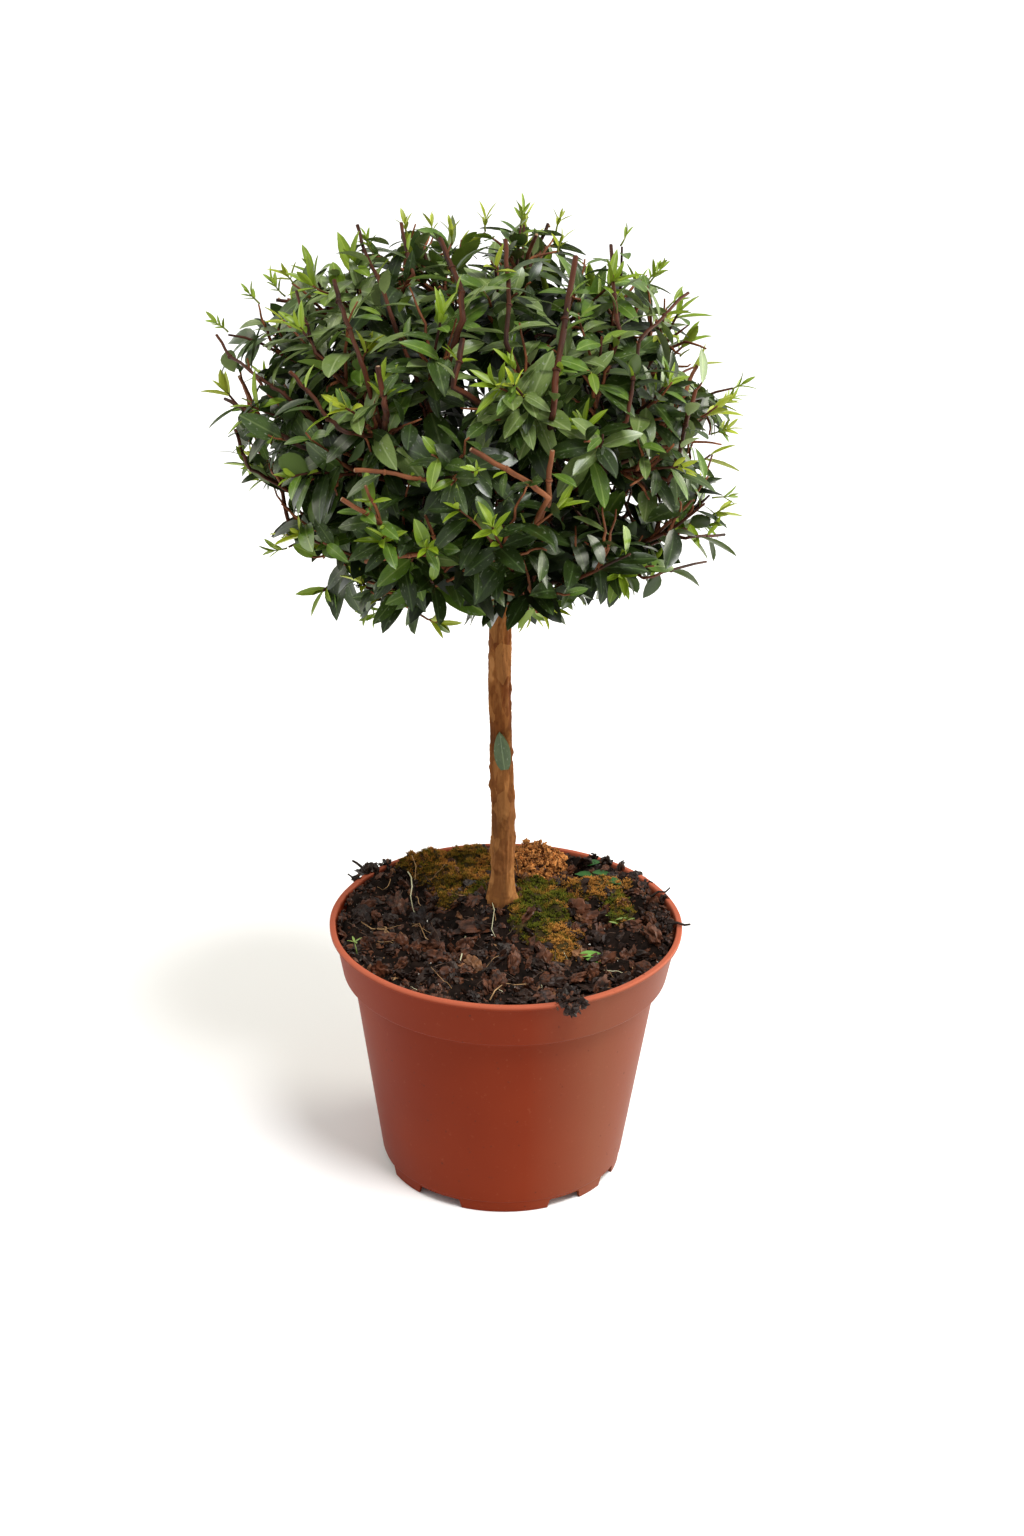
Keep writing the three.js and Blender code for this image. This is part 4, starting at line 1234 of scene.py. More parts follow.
def make_pot():
    """The pot turned on a lathe, cut at its foot and floor, and a little out of round at the rim."""
    def bend(r, z, turn):
        if r < RIM_RADIUS * 0.8:
            return 0.0
        high = max(0.0, (z - COLLAR_FOOT_Z) / (POT_HEIGHT - COLLAR_FOOT_Z))
        wave = 0.2 * math.sin(2 * turn + 0.7) + 0.1 * math.sin(5 * turn + 2) + 0.06 * math.sin(11 * turn)
        return wave * high

    shell = bpy.data.objects.new("shell", lathe_mesh(rounded(pot_profile()), POT_SIDES, bend))
    tool = bpy.data.objects.new("tool", pot_cutters())
    for made in (shell, tool):
        bpy.context.scene.collection.objects.link(made)
    cut = shell.modifiers.new("notches", "BOOLEAN")
    cut.operation = "DIFFERENCE"
    cut.solver = "EXACT"
    cut.object = tool
    bpy.context.view_layer.update()
    ready = shell.evaluated_get(bpy.context.evaluated_depsgraph_get())
    mesh = bpy.data.meshes.new_from_object(ready)
    for made in (shell, tool):
        old = made.data
        bpy.data.objects.remove(made)
        bpy.data.meshes.remove(old)
    mesh.name = "pot_shell"
    mesh.polygons.foreach_set("use_smooth", [True] * len(mesh.polygons))
    mesh.set_sharp_from_angle(angle=math.radians(SHARP_ANGLE))
    place_object("pot_shell", mesh, pot_material(), ["pot"])


# ------------------------------------------------------------------ compost

SOIL_LEVEL = 105.0
POT_INNER = inside_radius(SOIL_LEVEL)


def soil_height(x, y):
    """The height of the solids' compost."""
    rise = SOIL_LEVEL + y * 0.035
    lumps = 1.1 * math.sin(x / 8.3 + 1.3) * math.cos(y / 9.1 + 0.4)
    return rise + lumps + 0.8 * math.sin((x + 1.7 * y) / 6.7)


# Mounds of compost against the wall: turn from the front, half turn, height.
SOIL_BANKS = [(142, 24, 5.0), (95, 20, 5.0), (118, 16, 3.5), (-118, 22, 5.0), (-150, 26, 4.0),
              (180, 28, 4.0), (58, 14, 2.5), (-80, 32, 6.0)]


def bank_height(x, y):
    """How far the compost is heaped up at the pot's wall."""
    radius = math.hypot(x, y)
    turn = math.degrees(math.atan2(x, -y))
    high = 0.0
    for middle, half, height in SOIL_BANKS:
        apart = ((turn - middle + 180) % 360 - 180) / half
        high += height * math.exp(-apart * apart)
    return high * math.exp(-((max(radius, 60) - 66) / 9) ** 2 - (min(0.0, radius - 60) / 16) ** 2)


TRUNK_MOUND = 11.0
TRUNK_MOUND_REACH = 20.0


def mound_height(x, y):
    """How far the compost is heaped up round the trunk."""
    away = math.hypot(x - TRUNK_FOOT[0], y - TRUNK_FOOT[1] + 1) / TRUNK_MOUND_REACH
    return TRUNK_MOUND * math.exp(-away * away)


def soil_top(x, y):
    """The compost's real surface: the solid's height with its crumbs and hollows."""
    base = soil_height(x, y) + bank_height(x, y) + mound_height(x, y)
    coarse, middle, fine = lump(x, y, 0.15, 3.1), lump(x, y, 0.36, 7.7), lump(x, y, 0.95, 1.3)
    return base + 1.5 * coarse + 2.0 * middle + 0.6 * fine - 0.5


def settle(x, y, lift=0.8):
    """A point that much above the compost's real surface."""
    return np.array([x, y, soil_top(x, y) + lift])


def make_compost():
    """The bed of compost: its lumpy top and a flat underside where the solid's is."""
    pile = Pile()
    rings, sides = 64, 300
    verts, faces, places = [(0, 0, soil_top(0, 0))], [], [(0.5, 0.5)]
    for i in range(1, rings + 1):
        for k in range(sides):
            turn = 2 * math.pi * k / sides
            radius = (POT_INNER - 0.4) * i / rings
            x, y = radius * math.cos(turn), radius * math.sin(turn)
            verts.append((x, y, soil_top(x, y)))
            places.append((0.5 + x / 150, 0.5 + y / 150))
    lip = inside_radius(COLLAR_FOOT_Z + WALL + 0.6) - 0.4
    for k in range(sides):
        turn = 2 * math.pi * k / sides
        verts.append((lip * math.cos(turn), lip * math.sin(turn), COLLAR_FOOT_Z + WALL + 0.5))
        places.append((0.5 + 0.49 * math.cos(turn), 0.5 + 0.49 * math.sin(turn)))
    for k in range(sides):
        faces.append((0, 1 + k, 1 + (k + 1) % sides))
    for i in range(rings):
        for k in range(sides):
            a, b = 1 + i * sides + k, 1 + i * sides + (k + 1) % sides
            faces.append((a, a + sides, b + sides, b))
    last = 1 + rings * sides
    faces.append(tuple(range(last + sides - 1, last - 1, -1)))
    pile.add(verts, faces, places)
    make_piece("compost_bed", pile, compost_material(), ["compost"])


def chunk_shapes(count, subdivisions, seed, rough):
    """Irregular crumbs about 1 across."""
    draw = seeded(seed)
    shapes = []
    for _ in range(count):
        bm = bmesh.new()
        bmesh.ops.create_icosphere(bm, subdivisions=subdivisions, radius=0.5)
        size = np.array([1.0, 0.4 + 0.4 * draw(), 0.22 + 0.36 * draw()])
        shift = Vector((draw() * 50, draw() * 50, draw() * 50))
        verts = []
        for vert in bm.verts:
            grow = 1 + rough * noise.noise(vert.co * 3.1 + shift)
            grow += rough * 0.6 * noise.noise(vert.co * 7 + shift)
            verts.append(np.array(vert.co) * size * grow)
        faces = [tuple(v.index for v in face.verts) for face in bm.faces]
        bm.free()
        shapes.append((np.array(verts), faces))
    return shapes


def random_turn(draw):
    """Three ways at right angles, turned at random."""
    turn, rise, roll = draw() * 360, math.degrees(math.asin(2 * draw() - 1)), draw() * 360
    along = direction(turn, rise)
    side = beside(along, roll)
    return np.array([along, side, np.cross(along, side)])


def random_places(draw, verts):
    """A patch of the texture of its own for one small thing."""
    corner = np.array([0.1 + 0.8 * draw(), 0.1 + 0.8 * draw()])
    flat = verts[:, :2] + verts[:, 2:3] * 0.4
    return corner + flat / (np.abs(flat).max() + 1e-9) * 0.1


def add_chunk(pile, shapes, draw, place, size, turned=None):
    """One crumb, lying as it is turned."""
    verts, faces = shapes[int(draw() * len(shapes)) % len(shapes)]
    turned = random_turn(draw) if turned is None else turned
    pile.add(verts @ turned * size + place, faces, random_places(draw, verts))


THREAD_STEPS = 9
THREAD_CURL = 66
THREAD_SWAY = 44
THREAD_SAG = 5


def thread(draw, start, turn, rise, length):
    """Points of a loose root thread, which curls and sags but stays on the compost."""
    points = [start]
    for _ in range(THREAD_STEPS):
        turn += THREAD_CURL * (draw() - 0.5)
        rise += THREAD_SWAY * (draw() - 0.5) - THREAD_SAG
        points.append(points[-1] + direction(turn, rise) * length / THREAD_STEPS)
    return [np.array([x, y, max(z, soil_top(x, y) + 0.3)]) for x, y, z in points]


def add_thread(pile, points, radius):
    """A thread that tapers to half its thickness."""
    tube(pile, points, [radius * (1 - 0.5 * i / len(points)) for i in range(len(points))], 5)


def from_trunk(x, y):
    """How far a place on the compost is from the trunk's foot."""
    return math.hypot(x - TRUNK_FOOT[0], y - TRUNK_FOOT[1])


def on_soil(draw, inner=0.0, outer=69.0):
    """A random place on the compost, off the trunk."""
    while True:
        x, y = (2 * draw() - 1) * outer, (2 * draw() - 1) * outer
        if inner < math.hypot(x, y) < outer and from_trunk(x, y) > 8:
            return x, y


# Loose bits: x, y, z, size; over the front rim, on the left rim, the right rim and the back.
RIM_CLUMPS = [
    (27, -71, 114.8, 8.0), (31, -71, 113.6, 6.0), (23.5, -70.5, 113.8, 6.0), (29, -67, 114.6, 7.0),
    (22, -68, 113.6, 5.0), (28, -74, 112.4, 6.0), (26, -73.5, 110.6, 3.6),
    (-63, 43, 113, 7.0), (-58, 46, 113, 7.0), (-66, 38, 112.5, 4.5), (-53, 52, 113, 5.5),
    (-60.5, 45, 114, 6.5),
    (-5, 69, 114, 7.0), (-10, 68, 112.5, 6.0), (44, 57, 113.5, 7.0), (50, 52, 113, 7.0),
    (38, 61, 113, 6.0), (57, 45, 112.5, 6.0), (62, 38, 112, 6.0), (68, 24, 112, 5.0),
    (70, 1, 113, 5.0), (69, -3, 112, 5.5), (66, 8, 111, 6.0), (63, 15, 111.5, 6.5),
]

# Crumbs that lean on the pot's wall all round, and white grains.
WALL_CRUMBS = 420
WHITE_GRAINS = 46

# Slabs of bark that lie flat on the compost: x, y and size.
SLABS = [(-13, 2, 17), (-30, -22, 11), (36, 14, 12), (-52, -8, 10)]

CRUMB_COLOURS = {
    "crumb_dark": ((0.0060, 0.0023, 0.0013), (0.028, 0.0107, 0.0053)),
    "crumb_brown": ((0.0150, 0.0055, 0.0027), (0.132, 0.045, 0.0200)),
    "crumb_red": ((0.060, 0.024, 0.010), (0.25, 0.11, 0.045)),
    "crumb_tan": ((0.16, 0.08, 0.030), (0.38, 0.20, 0.08)),
    "grain_white": ((0.55, 0.5, 0.42), (0.75, 0.72, 0.66)),
}


def crumb_kind(value, size):
    """The colour of a loose crumb; only small ones are tan, and few large ones are red."""
    if value > 0.98 and size < 3:
        return "crumb_tan"
    if value < 0.50:
        return "crumb_dark"
    return "crumb_brown" if value < 0.92 or value > 0.95 and size > 5 else "crumb_red"


def make_crumbs():
    """The loose compost: clumps on the rim, crumbs of three sizes, slabs and grains."""
    draw = seeded(SEED + 900)
    piles = {name: Pile() for name in CRUMB_COLOURS}
    large = chunk_shapes(10, 3, SEED + 901, 0.75)
    middling = chunk_shapes(14, 2, SEED + 902, 0.7)
    small = chunk_shapes(12, 1, SEED + 903, 0.6)
    for x, y, z, size in RIM_CLUMPS:
        add_chunk(piles["crumb_dark"], large, draw, np.array([x, y, z]), size)
        for _ in range(9):
            shift = jitter(draw) * size
            kind = "crumb_brown" if draw() < 0.45 else "crumb_dark"
            add_chunk(piles[kind], middling, draw, np.array([x, y, z]) + shift * 0.8, 1.0 + 1.6 * draw())
    for count, shapes, low, high in ((260, large, 5.0, 11.0), (760, middling, 2.6, 5.5),
                                     (1900, small, 0.9, 2.4)):
        for _ in range(count):
            x, y = on_soil(draw)
            size = low + (high - low) * draw() ** 1.5
            if math.hypot(x, y) + size * 0.45 <= POT_INNER:
                kind = crumb_kind(draw(), size)
                add_chunk(piles[kind], shapes, draw, settle(x, y, size * (0.26 * draw() - 0.02)), size)
    for _ in range(WALL_CRUMBS):
        turn, size = 360 * draw(), 1.8 + 3.0 * draw() ** 1.5
        edge = direction(turn, 0) * (POT_INNER - 1.0)
        z = min(POT_HEIGHT - 1.5, soil_top(edge[0], edge[1]) + 0.4 + 2.4 * draw())
        place = direction(turn, 0) * (inside_radius(z) - 0.42 * size) + np.array([0, 0, z])
        add_chunk(piles["crumb_dark" if draw() < 0.6 else "crumb_brown"], middling, draw, place, size)
    for x, y, size in SLABS:
        flat = np.array([unit(np.array([1, 0.6 * draw() - 0.3, 0.1])), [0, 1, 0.1], [0, -0.1, 1]])
        add_chunk(piles["crumb_brown"], large, draw, settle(x, y), size, flat)
    for _ in range(WHITE_GRAINS):
        x, y = on_soil(draw)
        add_chunk(piles["grain_white"], small, draw, settle(x, y, 0.6), 0.7 + 0.7 * draw())
    make_pieces(piles, CRUMB_COLOURS, "compost", patch_material, 0.52, 0.26, smooth=False)


# The heap of pale dry chips behind the trunk: how many, its middle, its reach and its height.
CHIP_COUNT = 620
CHIP_HEAP = (12, 57)
CHIP_REACH = (15, 13)
CHIP_HEIGHT = 10.5


def make_back_chips():
    """The heap of pale dry chips behind the trunk."""
    draw = seeded(SEED + 905)
    pile = Pile()
    shapes = chunk_shapes(14, 2, SEED + 906, 0.8)
    for _ in range(CHIP_COUNT):
        turn, out = 2 * math.pi * draw(), math.sqrt(draw())
        x = CHIP_HEAP[0] + CHIP_REACH[0] * out * math.cos(turn)
        y = CHIP_HEAP[1] + CHIP_REACH[1] * out * math.sin(turn)
        if math.hypot(x, y) < POT_INNER - 1:
            place = settle(x, y, CHIP_HEIGHT * (1 - out * out) * draw() ** 0.5)
            add_chunk(pile, shapes, draw, place, 1.6 + 2.4 * draw())
    material = patch_material("chips_back", (0.07, 0.022, 0.006), (0.80, 0.33, 0.09), 0.85, 0.2)
    make_piece("chips_back", pile, material, smooth=False)


# ------------------------------------------------------------------ moss

# Patches of moss: outline, height, and the shares of green and olive shoots; the rest are gold.
MOSS_PATCHES = [
    ([(-56, 48), (-49, 58), (-35, 65), (-20, 68), (-7, 69), (-5, 56), (-7, 40), (-12, 28), (-19, 19),
      (-30, 19), (-31, 32), (-38, 41), (-45, 48)], 4.6, (0.10, 0.42)),
    ([(-56, 50), (-47, 60), (-34, 66), (-24, 58), (-34, 46), (-44, 50)], 5.4, (0.02, 0.14)),
    ([(-9, 44), (-6, 40), (-8, 27), (-16, 20), (-20, 24), (-15, 36)], 5.2, (0.45, 0.35)),
    ([(3, 43), (14, 46), (25, 38), (33, 26), (27, 12), (19, -6), (8, -9), (1, 0), (4, 20)], 4.2,
     (0.54, 0.34)),
    ([(14, 6), (26, 14), (34, 2), (30, -17), (18, -20)], 3.6, (0.08, 0.24)),
    ([(22, 43), (36, 49), (54, 40), (46, 26), (30, 30)], 4.2, (0.06, 0.18)),
    ([(42, 27), (50, 33), (57, 19), (51, 4), (42, 12)], 4.2, (0.55, 0.30)),
]
MOSS_DENSITY = 1.5
MOSS_EDGE = 6.0
MOSS_CELL = 0.9
TUFT_LEAVES = 6
MOSS_COLOURS = {
    "moss_green": ((0.013, 0.018, 0.003), (0.155, 0.168, 0.015)),
    "moss_olive": ((0.021, 0.013, 0.003), (0.320, 0.195, 0.024)),
    "moss_gold": ((0.038, 0.014, 0.003), (0.70, 0.32, 0.068)),
}


def edge_depth(outline, x, y):
    """How deep inside an outline a point lies; below zero outside it."""
    point = np.array([x, y])
    inside, nearest = False, 1e9
    for a, b in zip(outline, outline[1:] + outline[:1]):
        if (a[1] > y) != (b[1] > y) and x < a[0] + (b[0] - a[0]) * (y - a[1]) / (b[1] - a[1]):
            inside = not inside
        side = np.array(b, float) - a
        along = min(1.0, max(0.0, float(np.dot(point - a, side)) / float(np.dot(side, side))))
        nearest = min(nearest, float(np.hypot(*(point - a - side * along))))
    return nearest if inside else -nearest


def moss_rise(outline, height, x, y):
    """The height of a patch's cushion above the compost, or nothing outside its ragged edge."""
    ragged = 3.2 * lump(x, y, 0.17, 5) + 1.6 * lump(x, y, 0.5, 8)
    depth = edge_depth(outline, x, y) + ragged
    if depth <= 0:
        return None
    return height * math.sqrt(min(1.0, depth / MOSS_EDGE)) * (1 + 0.45 * lump(x, y, 0.22, 9))


def add_tuft(pile, draw, place, size, tilt):
    """A moss shoot seen from above: a star of small pointed leaves."""
    verts, faces = [], []
    first = draw() * 360
    for k in range(TUFT_LEAVES):
        turn = first + 360 / TUFT_LEAVES * k + 24 * draw()
        rise = 12 + 52 * draw()
        out = unit(direction(turn, rise) + tilt * 0.6)
        side = unit(np.cross(out, np.array([0, 0, 1.0]))) * size * 0.17
        reach = size * (0.6 + 0.5 * draw())
        start = len(verts)
        ridge = place + out * reach * 0.5 + np.array([0, 0, size * 0.12])
        verts += [place - side, place + side, place + out * reach, ridge]
        faces += [(start, start + 1, start + 3), (start + 1, start + 2, start + 3),
                  (start + 2, start, start + 3), (start, start + 2, start + 1)]
    verts = np.array(verts)
    reach = np.linalg.norm(verts - place, axis=1) / (size * 1.15)
    places = np.stack([np.full(len(verts), 0.05 + 0.9 * draw()), 0.05 + 0.9 * np.minimum(reach, 1)], 1)
    pile.add(verts, faces, places)


def patch_box(outline):
    """The least x and y of a patch, and its size each way, with room for its ragged edge."""
    xs, ys = zip(*outline)
    return min(xs) - 3, min(ys) - 3, max(xs) - min(xs) + 6, max(ys) - min(ys) + 6


def add_mound(pile, outline, height):
    """The earth under a patch of moss; outside the patch it dips below the compost."""
    x0, y0, wide, deep = patch_box(outline)
    nx, ny = int(wide / MOSS_CELL) + 1, int(deep / MOSS_CELL) + 1
    grid, verts, faces = {}, [], []
    for i in range(nx + 1):
        for j in range(ny + 1):
            x, y = x0 + MOSS_CELL * i, y0 + MOSS_CELL * j
            if math.hypot(x, y) < POT_INNER - 0.8:
                grid[i, j] = len(verts)
                rise = moss_rise(outline, height, x, y)
                verts.append((x, y, soil_top(x, y) + (rise - 0.9 if rise else -2.0)))
    for i in range(nx):
        for j in range(ny):
            corners = [grid.get(c) for c in ((i, j), (i + 1, j), (i + 1, j + 1), (i, j + 1))]
            if None not in corners:
                faces.append(tuple(corners))
    pile.add(verts, faces, np.array(verts)[:, :2] / 150 + 0.5)


def make_moss():
    """Cushions of moss shoots on their mounds, thinner here and there."""
    draw = seeded(SEED + 940)
    piles = {name: Pile() for name in MOSS_COLOURS}
    mounds = Pile()
    for outline, height, (green, olive) in MOSS_PATCHES:
        add_mound(mounds, outline, height)
        x0, y0, wide, deep = patch_box(outline)
        for _ in range(int(wide * deep * MOSS_DENSITY)):
            x, y = x0 + wide * draw(), y0 + deep * draw()
            if from_trunk(x, y) < 7.0 or math.hypot(x, y) > POT_INNER - 1:
                continue
            rise = moss_rise(outline, height, x, y)
            if rise is None or lump(x, y, 0.33, 31) < -0.25 and draw() < 0.7:
                continue
            tone = lump(x, y, 0.13, 20) * 0.7 + draw() * 0.5 + 0.2
            kind = "moss_green" if tone < green else "moss_olive" if tone < green + olive else "moss_gold"
            tilt = np.array([draw() - 0.5, draw() - 0.5, 0.5])
            add_tuft(piles[kind], draw, settle(x, y, rise - 0.8), 1.1 + 1.1 * draw(), tilt)
    material = patch_material("moss_mounds", (0.012, 0.009, 0.003), (0.06, 0.040, 0.010), 0.95, 0.2)
    make_piece("moss_mounds", mounds, material,
               ["moss_back_left", "moss_back", "moss_front", "moss_right"])
    make_pieces(piles, MOSS_COLOURS, "moss", moss_material, smooth=False)


# ------------------------------------------------------------------ trunk and boughs


def trunk_radius(z):
    """The trunk's radius, with the flare at its foot."""
    t = (z - TRUNK_FOOT[2]) / (FORK[2] - TRUNK_FOOT[2])
    stem = TRUNK_RADIUS_LOW + (TRUNK_RADIUS_HIGH - TRUNK_RADIUS_LOW) * t
    return stem + 0.9 * FLARE * math.exp(-max(0.0, z - TRUNK_FOOT[2] - TRUNK_MOUND) / FLARE_FALL)


def head_radius(z):
    """The trunk's radius with its swollen head at the fork."""
    below = z - FORK[2]
    ball = math.sqrt(max(0.0, HEAD_RADIUS ** 2 - below ** 2))
    neck = trunk_radius(min(z, FORK[2])) + 0.7 * math.exp(-((z - FORK[2] + 12) / 6) ** 2)
    if below > 0:
        return ball
    return max(neck, ball)


def smooth_step(low, high, value):
    """0 below low and 1 above high, with a smooth rise between."""
    t = min(1.0, max(0.0, (value - low) / (high - low)))
    return t * t * (3 - 2 * t)


def bark_relief(x, y, z, turn):
    """Thin flakes in upright strips."""
    east, north = math.cos(turn), math.sin(turn)
    flake = lump(east, north, 1.5, z * 0.048 + 4) + 0.45 * lump(east, north, 4, z * 0.13)
    strip, fine = lump(east, north, 6.5, z * 0.06), lump(x, y, 1.9, z * 0.8)
    return 0.42 * smooth_step(-0.05, 0.04, flake) + 0.34 * strip + 0.16 * fine - 0.28


KNOT_COUNT = 44
BARK_SIDES = 72
BARK_STEP = 0.42
BARK_BURIED = 2.5


def trunk_knots():
    """Where the trunk's small knots are, and how high, wide and tall each stands out."""
    draw = seeded(SEED + 980)
    return [(draw() * 2 * math.pi, TRUNK_FOOT[2] + 12 + 135 * draw(), 0.35 + 0.6 * draw(),
             0.20 + 0.2 * draw(), 1.0 + 1.5 * draw()) for _ in range(KNOT_COUNT)]


def add_trunk(pile):
    """The trunk with its relief, from just under the compost to the top of its head."""
    knots = trunk_knots()
    top, bottom = FORK[2] + HEAD_RADIUS, TRUNK_FOOT[2] - BARK_BURIED
    heights = [bottom + BARK_STEP * i for i in range(int((top - bottom) / BARK_STEP) + 1)]
    verts, places = [], []
    for z in heights:
        centre = trunk_centre(min(max(z, TRUNK_FOOT[2]), FORK[2]))
        low = math.exp(-max(0.0, z - TRUNK_FOOT[2]) / FLARE_FALL)
        for k in range(BARK_SIDES):
            turn = 2 * math.pi * k / BARK_SIDES
            radius = head_radius(max(z, TRUNK_FOOT[2])) * (1 + 0.12 * low * math.cos(5 * turn + 0.6))
            x, y = radius * math.cos(turn), radius * math.sin(turn)
            bump = bark_relief(x, y, z, turn)
            for knot_turn, knot_z, high, wide, tall in knots:
                if abs(z - knot_z) < 3 * tall:
                    apart = abs((turn - knot_turn + math.pi) % (2 * math.pi) - math.pi) / wide
                    bump += high * math.exp(-apart ** 2 - ((z - knot_z) / tall) ** 2)
            radius = max(0.05, radius + bump * min(1.0, radius / 3))
            verts.append((centre[0] + radius * math.cos(turn), centre[1] + radius * math.sin(turn), z))
            places.append((0.78 * k / BARK_SIDES, (z - bottom) / (top - bottom)))
    pile.add(verts, ring_faces(len(heights), BARK_SIDES), places)


def make_bark():
    """One mesh for the trunk and its boughs, which start inside the head."""
    pile = Pile()
    add_trunk(pile)
    steps, sides = 34, 18
    for index, bough in enumerate(BOUGHS):
        points, radii = [], []
        for i in range(steps + 1):
            t = i / steps
            away = BOUGH_START + (bough["end"] - BOUGH_START) * t if i else HEAD_RADIUS - 3
            place = FORK + bough["along"] * away + bough["bow"] * math.sin(math.pi * t)
            wobble = 1 + 0.10 * noise.noise(Vector(place * 0.35)) + 0.07 * noise.noise(Vector(place * 1.1))
            points.append(place)
            radii.append((bough["base"] + (bough["tip"] - bough["base"]) * t) * wobble)
        tube(pile, points, radii, sides, (0.8, index / len(BOUGHS), 0.19, 0.9 / len(BOUGHS)))
    limbs = ["trunk"] + [f"bough_{bough['name']}" for bough in BOUGHS]
    make_piece("bark", pile, bark_material(), limbs)


# ------------------------------------------------------------------ small things

STRAY_LEAF_HEIGHT = 188
STRAY_LEAF_LENGTH = 17.6


def make_stray_leaf():
    """The leaf that hangs against the front of the trunk."""
    pile = Pile()
    middle = trunk_centre(STRAY_LEAF_HEIGHT)
    radius = trunk_radius(STRAY_LEAF_HEIGHT) + 0.75
    rows, cols = 14, 6
    verts, places = [], []
    for i in range(rows + 1):
        s = i / rows
        half = 3.5 * math.sin(math.pi * min(1.0, 0.06 + 0.94 * s) ** 0.8) ** 0.75
        for k in range(cols + 1):
            across = 2 * k / cols - 1
            x = 0.4 + across * half + 2.3 * (0.5 - s)
            arc = x / radius
            lift = 0.45 - 0.35 * (1 - across * across) + 0.25 * abs(0.5 - s)
            z = middle[2] - STRAY_LEAF_LENGTH / 2 + STRAY_LEAF_LENGTH * s
            verts.append((middle[0] + (radius + lift) * math.sin(arc),
                          middle[1] - (radius + lift) * math.cos(arc), z))
            places.append(((0.5 + 0.46 * across) / CELLS, (0.04 + 0.92 * s) / CELLS))
    count = len(verts)
    verts = np.array(verts)
    back = verts + np.array([0, 0.28, 0])
    faces = []
    for i in range(rows):
        for k in range(cols):
            a = i * (cols + 1) + k
            faces.append((a, a + 1, a + cols + 2, a + cols + 1))
            faces.append((count + a, count + a + cols + 1, count + a + cols + 2, count + a + 1))
    pile.add(np.concatenate([verts, back]), faces, np.array(places + places))
    material = leaf_material("stray_leaf", (0.045, 0.075, 0.024), (0.085, 0.125, 0.042),
                             (0.16, 0.22, 0.10), 0.8, 0.45)
    make_piece("stray_leaf", pile, material, ["trunk_leaf"])


# Scattered threads: the pile, how many, their radius and length.
LOOSE_THREADS = [("thread_pale", 12, 0.17, 11), ("thread_tan", 34, 0.2, 12), ("thread_dark", 90, 0.24, 13)]

# Threads that show: the pile, its thickness and x, y, height over the compost of each point.
THREADS = [
    ("thread_pale", 0.30, [(-43, 33, 9), (-41.5, 30, 8), (-41, 27, 6), (-41.5, 23, 4), (-40.5, 19, 2.6),
                           (-39.5, 15, 1.6), (-38, 8, 1.2)]),
    ("thread_tan", 0.20, [(-42, 51, 4), (-40, 46, 6), (-40, 40, 6), (-40, 34, 5)]),
    ("thread_tan", 0.32, [(-62, -1, 1.5), (-57, -3, 2), (-51, -6, 1.6), (-47, -10, 1.4)]),
    ("thread_tan", 0.24, [(-52, 0, 1.5), (-51, -4, 2.4), (-50, -10, 1.4)]),
    ("thread_tan", 0.26, [(-40, 3, 1.5), (-37, 3, 2.5), (-34, -4, 2), (-31, -5, 1.3)]),
    ("thread_pale", 0.30, [(-19, -24, 1.2), (-18, -16, 2.5), (-17, -8, 3), (-18, -12, 2.4)]),
    ("thread_tan", 0.34, [(-6, -52, 1.6), (-4, -46, 1.8), (0, -41, 1.6), (4, -43, 2.0), (9, -38, 1.3)]),
    ("thread_pale", 0.22, [(-6, 10, 1.6), (-5, 4, 2.6), (-6, -4, 2), (-4, -9, 1.2)]),
    ("thread_dark", 0.26, [(21, -8, 1.5), (21, -20, 3), (23, -32, 3), (22, -40, 2)]),
    ("thread_tan", 0.30, [(27, -52, 1.4), (28, -49, 2.2), (28.5, -45, 2.6)]),
]

# Dark twigs over the rim, in x, y and z.
RIM_TWIGS = [
    (0.8, [(-60, 42, 112.5), (-63.5, 44, 115), (-66, 45.5, 116.4), (-68, 46, 117.4)]),
    (0.75, [(68, -1, 114), (73, -2, 114.6), (76, -3, 114.2), (78.5, -3, 114.6)]),
    (0.6, [(62, 26, 112), (66, 28, 114), (69, 27, 114.4), (71, 29, 115.5)]),
    (0.5, [(-66, 36, 112), (-68, 37, 114.2), (-69.5, 38, 114.8)]),
]

# Green things on the compost: pile, x, y, lift, turn, rise and length.
GREEN_BITS = [
    ("leaf_fallen", 30, -17, 1.6, 92, 8, 12), ("leaf_fallen", 34, -19, 1.4, 60, 14, 7),
    ("leaf_low", 30, 49, 3.2, 78, 6, 11), ("leaf_low", 37, 49, 3.0, 62, 12, 10),
    ("leaf_low", 38, 46, 2.6, 100, 8, 10), ("leaf_low", 43, 42, 2.4, 60, 10, 8),
    ("leaf_low", 34, 53, 2.6, 110, 10, 8),
    ("sprout", 44, 12, 2.2, 20, 50, 6), ("sprout", 45, 11, 2.2, -30, 40, 6),
    ("sprout", 47, 10, 2.0, 60, 30, 6), ("sprout", 50, 9, 2.0, 10, 55, 5),
    ("sprout", 51, 8, 2.0, 90, 35, 5), ("sprout", 48, 6, 1.8, -60, 30, 5),
]


